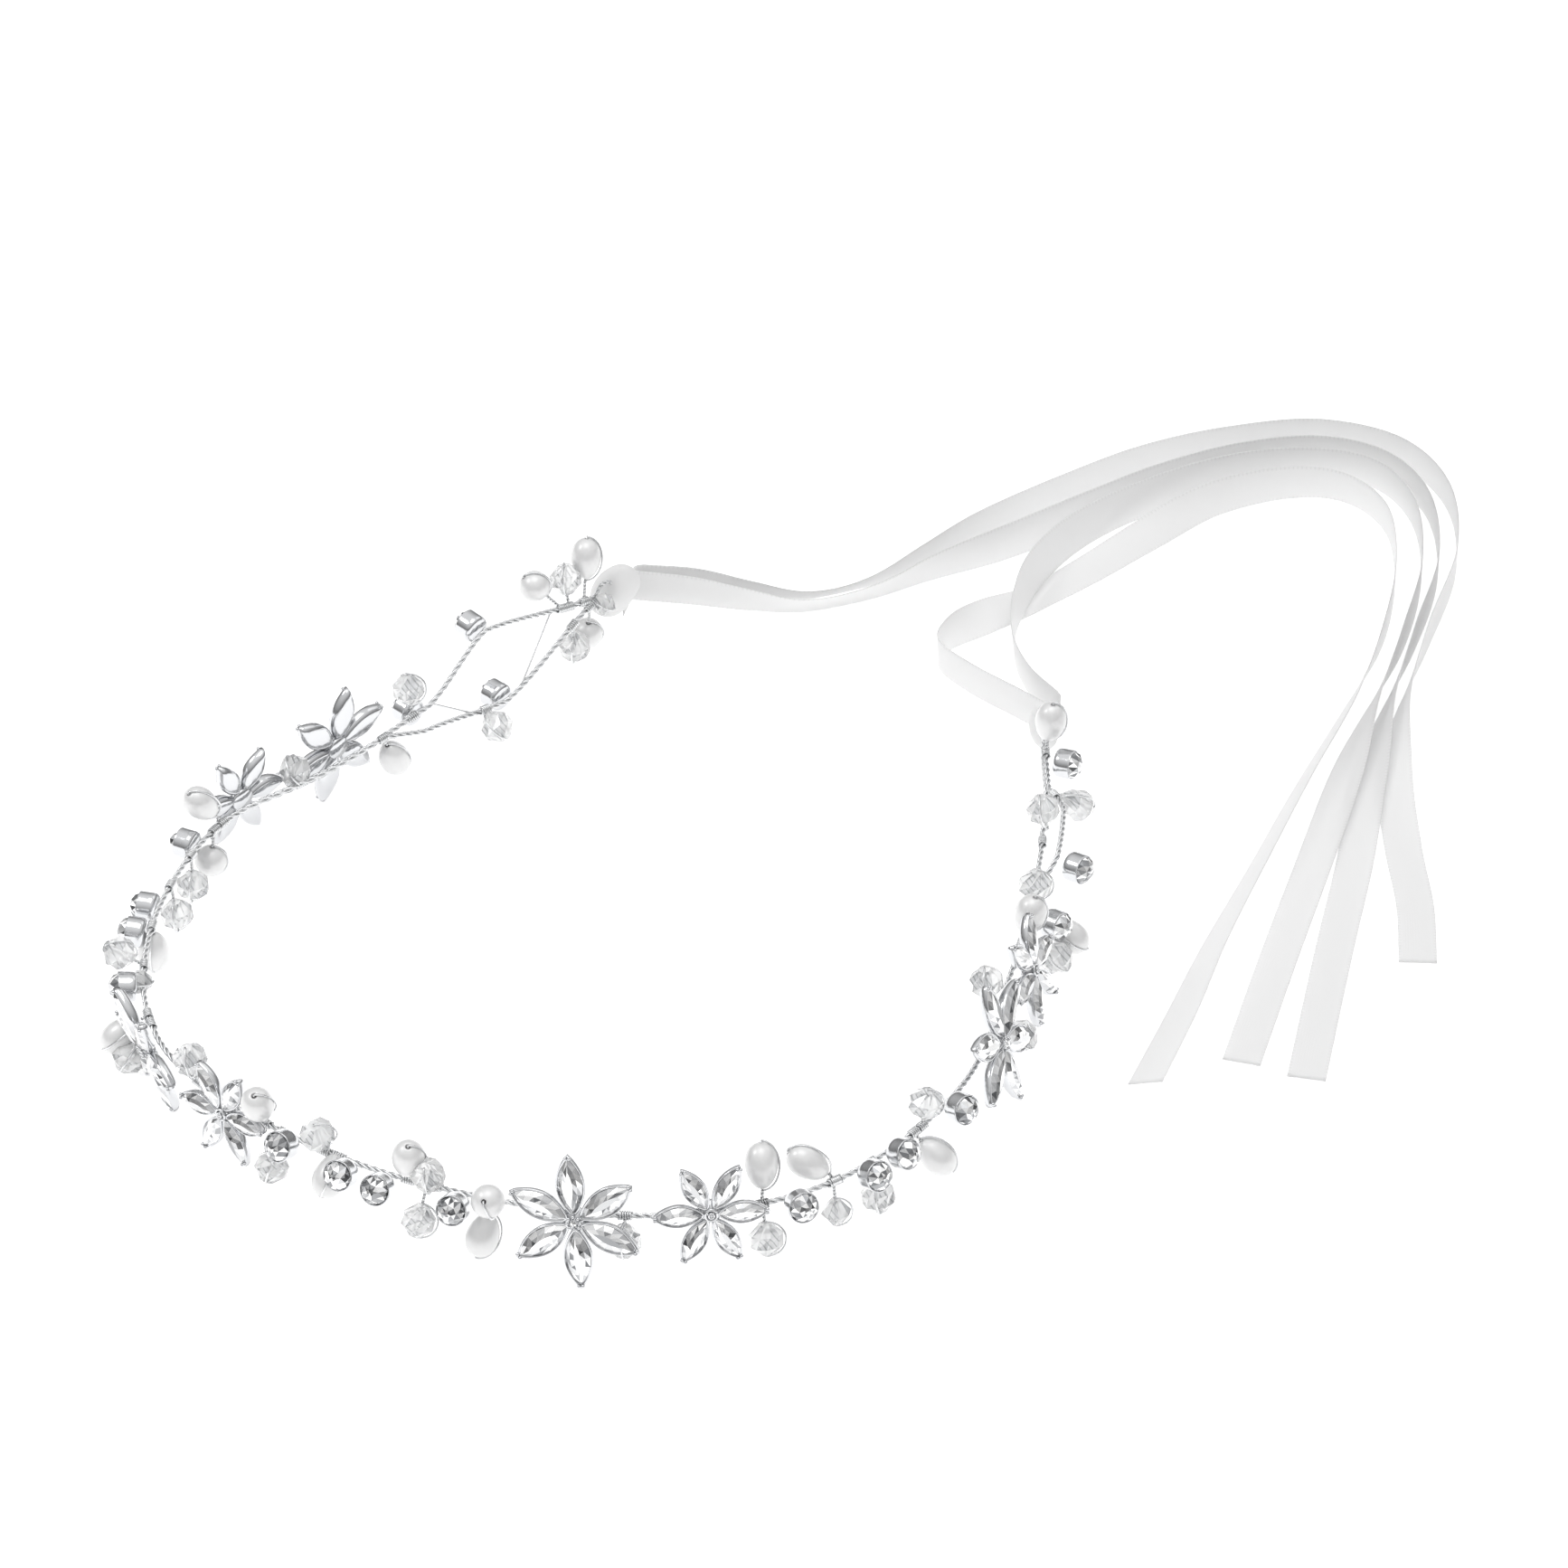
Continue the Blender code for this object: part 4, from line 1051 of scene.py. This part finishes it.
def turn_about_z(surface, angle):
    """A surface turned clockwise about Z, seen from +Z."""
    points, faces = surface
    turn = np.array([[np.cos(angle), -np.sin(angle), 0], [np.sin(angle), np.cos(angle), 0], [0, 0, 1]])
    return points @ turn, faces


def ring_surface(radius, thick, height, sides=28):
    """A ring lying round Z."""
    angle = np.linspace(0, 2 * np.pi, sides + 1)[:, None]
    path = np.hstack([radius * np.cos(angle), radius * np.sin(angle), np.full_like(angle, height)])
    return tube(path, thick, (0, 0, 1), 8)


def flower_parts(large):
    """Casting surfaces and stones of a flower about Z, with its first petal towards +Y."""
    reach, petal = (LARGE_REACH, LARGE_PETAL) if large else (SMALL_REACH, SMALL_PETAL)
    casting, stones = [], []
    claws = [ball(np.array([x, reach - CLAW_INSET, CLAW_HEIGHT]), CLAW_RADIUS)
             for x in (-CLAW_SIDE, CLAW_SIDE)]
    for petal_angle in 2 * np.pi * np.arange(PETALS) / PETALS:
        casting += [turn_about_z(part, petal_angle) for part in [boat(reach, petal)] + claws]
        stones.append(turn_about_z(navette(reach, petal), petal_angle))
    hub_around = np.array([0.1, 2.3, 2.5, 2.3, 1.6, 0.1]) * MM
    hub_height = np.array([0.0, 0.0, 0.4, 0.9, 1.9, 2.1]) * MM
    casting.append(turned(hub_around, hub_height, 24, wrap=False))
    if large:
        around, height = np.array([0.9, 1.0, 0.55, 0.05]) * MM, np.array([1.9, 2.5, 3.1, 3.2]) * MM
        stones.append(triangles(turned(around, height, 8, wrap=False, shift=0.5)))
        spots = 2 * np.pi * np.arange(8) / 8
        casting += [ball(np.array([1.25 * MM * np.cos(a), 1.25 * MM * np.sin(a), 2.7 * MM]), 0.36 * MM)
                    for a in spots]
    else:
        casting += [ring_surface(1.1 * MM, 0.28 * MM, 2.3 * MM), ring_surface(0.5 * MM, 0.2 * MM, 2.6 * MM)]
        casting.append(ball(np.array([0, 0, 2.5 * MM]), 0.36 * MM))
    return casting, stones


# %% Flowers
def flower_roll(points, back, axes, reach):
    """Angle from +Y, clockwise from outside, of the nearest petal tip: six times each tip's angle agree."""
    local = (points - back) @ axes.T
    far = local[np.linalg.norm(local[:, :2], axis=1) > 0.97 * reach]
    around = np.arctan2(far[:, 0], far[:, 1])
    return np.angle(np.exp(1j * PETALS * around).sum()) / PETALS


for node in sorted(name for name in frame["nodes"] if name.startswith("flower")):
    large = "large" in node
    back, axes, points = ornament_frame(node, flat=True)
    roll = flower_roll(points, back, axes, LARGE_REACH if large else SMALL_REACH)
    casting, stones = flower_parts(large)
    body = frame["nodes"][node]["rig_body"]
    settings = [turn_about_z(part, roll) for part in casting]
    make_piece(node + "_casting", [(back + p @ axes, f) for p, f in settings], silver_casting,
               body, [node])
    cut = [turn_about_z(part, roll) for part in stones]
    stone = make_piece(node + "_stones", [(back + p @ axes, f) for p, f in cut], stone_glass,
                       body, smooth=False)
    # the navettes get painted reflection tones, mostly middle grey
    set_painted_tones(stone, [0.16, 0.56, 0.28])
print("flowers are made")

# %% [markdown]
# ## Ribbon folds
#
# Where the ribbon is looped through the wire eye, it bunches into a soft
# rounded fold with a hollow down the middle.  The fold is a padded oval: a
# squared-off ball, pinched where the wire holds it.

# %% Folds
FOLD_COLUMNS = 56


def fold_surface(node, tilt, size, shift):
    """A soft oval about its solid's middle: an ellipsoid with powered sines, creased along its length."""
    low, high = (np.array(corner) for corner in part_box(node))
    middle = (low + high) / 2 + shift
    u = np.linspace(0.02, np.pi - 0.02, 40)[:, None]
    v = np.linspace(0, 2 * np.pi, FOLD_COLUMNS, endpoint=False)[None]
    swell = 1 - 0.10 * np.exp(-(((v - np.pi) / 0.5) ** 2)) + 0.04 * np.sin(3 * u) * np.cos(v)
    bulge = np.sin(u) ** 0.8 * swell
    local = np.stack([bulge * np.cos(v), bulge * np.sin(v), np.cos(u) * np.ones_like(v)], axis=-1) * size
    away = unit(np.array([*sight_line(CAMERA_AZIMUTH, 0)[:2], 0.0]))
    side = np.cross([0.0, 0.0, 1.0], away)
    up = np.cos(tilt) * np.array([0, 0, 1.0]) + np.sin(tilt) * side
    across = np.cross(up, away)
    return grid(middle + local @ np.array([across, away, up]), wrap_columns=True, caps=True)


def fold_piece(name, node, tilt, size, shift, body):
    """A fold with a map that runs round it, so that the satin's threads follow its length."""
    fold = make_piece(name, [fold_surface(node, tilt, size, shift)], satin, body, [node])
    count = len(fold.data.loops)
    corner_points = np.empty(count, int)
    fold.data.loops.foreach_get("vertex_index", corner_points)
    row, column = np.divmod(corner_points, FOLD_COLUMNS)
    mapped = np.column_stack([0.1 + 0.8 * np.abs(column * 2 / FOLD_COLUMNS - 1), row * 0.3 * MM])
    fold.data.uv_layers.new(name="ribbon").data.foreach_set("uv", mapped.ravel())


fold_piece("left_fold_satin", "left_ribbon_fold", 0.55, np.array([4.6, 3.2, 6.6]) * MM,
           np.array([-1.6, -1.0, 1.0]) * MM, "left_arm")
fold_piece("right_fold_satin", "right_ribbon_fold", -0.25, np.array([2.8, 2.4, 4.8]) * MM,
           np.zeros(3), "right_arm")
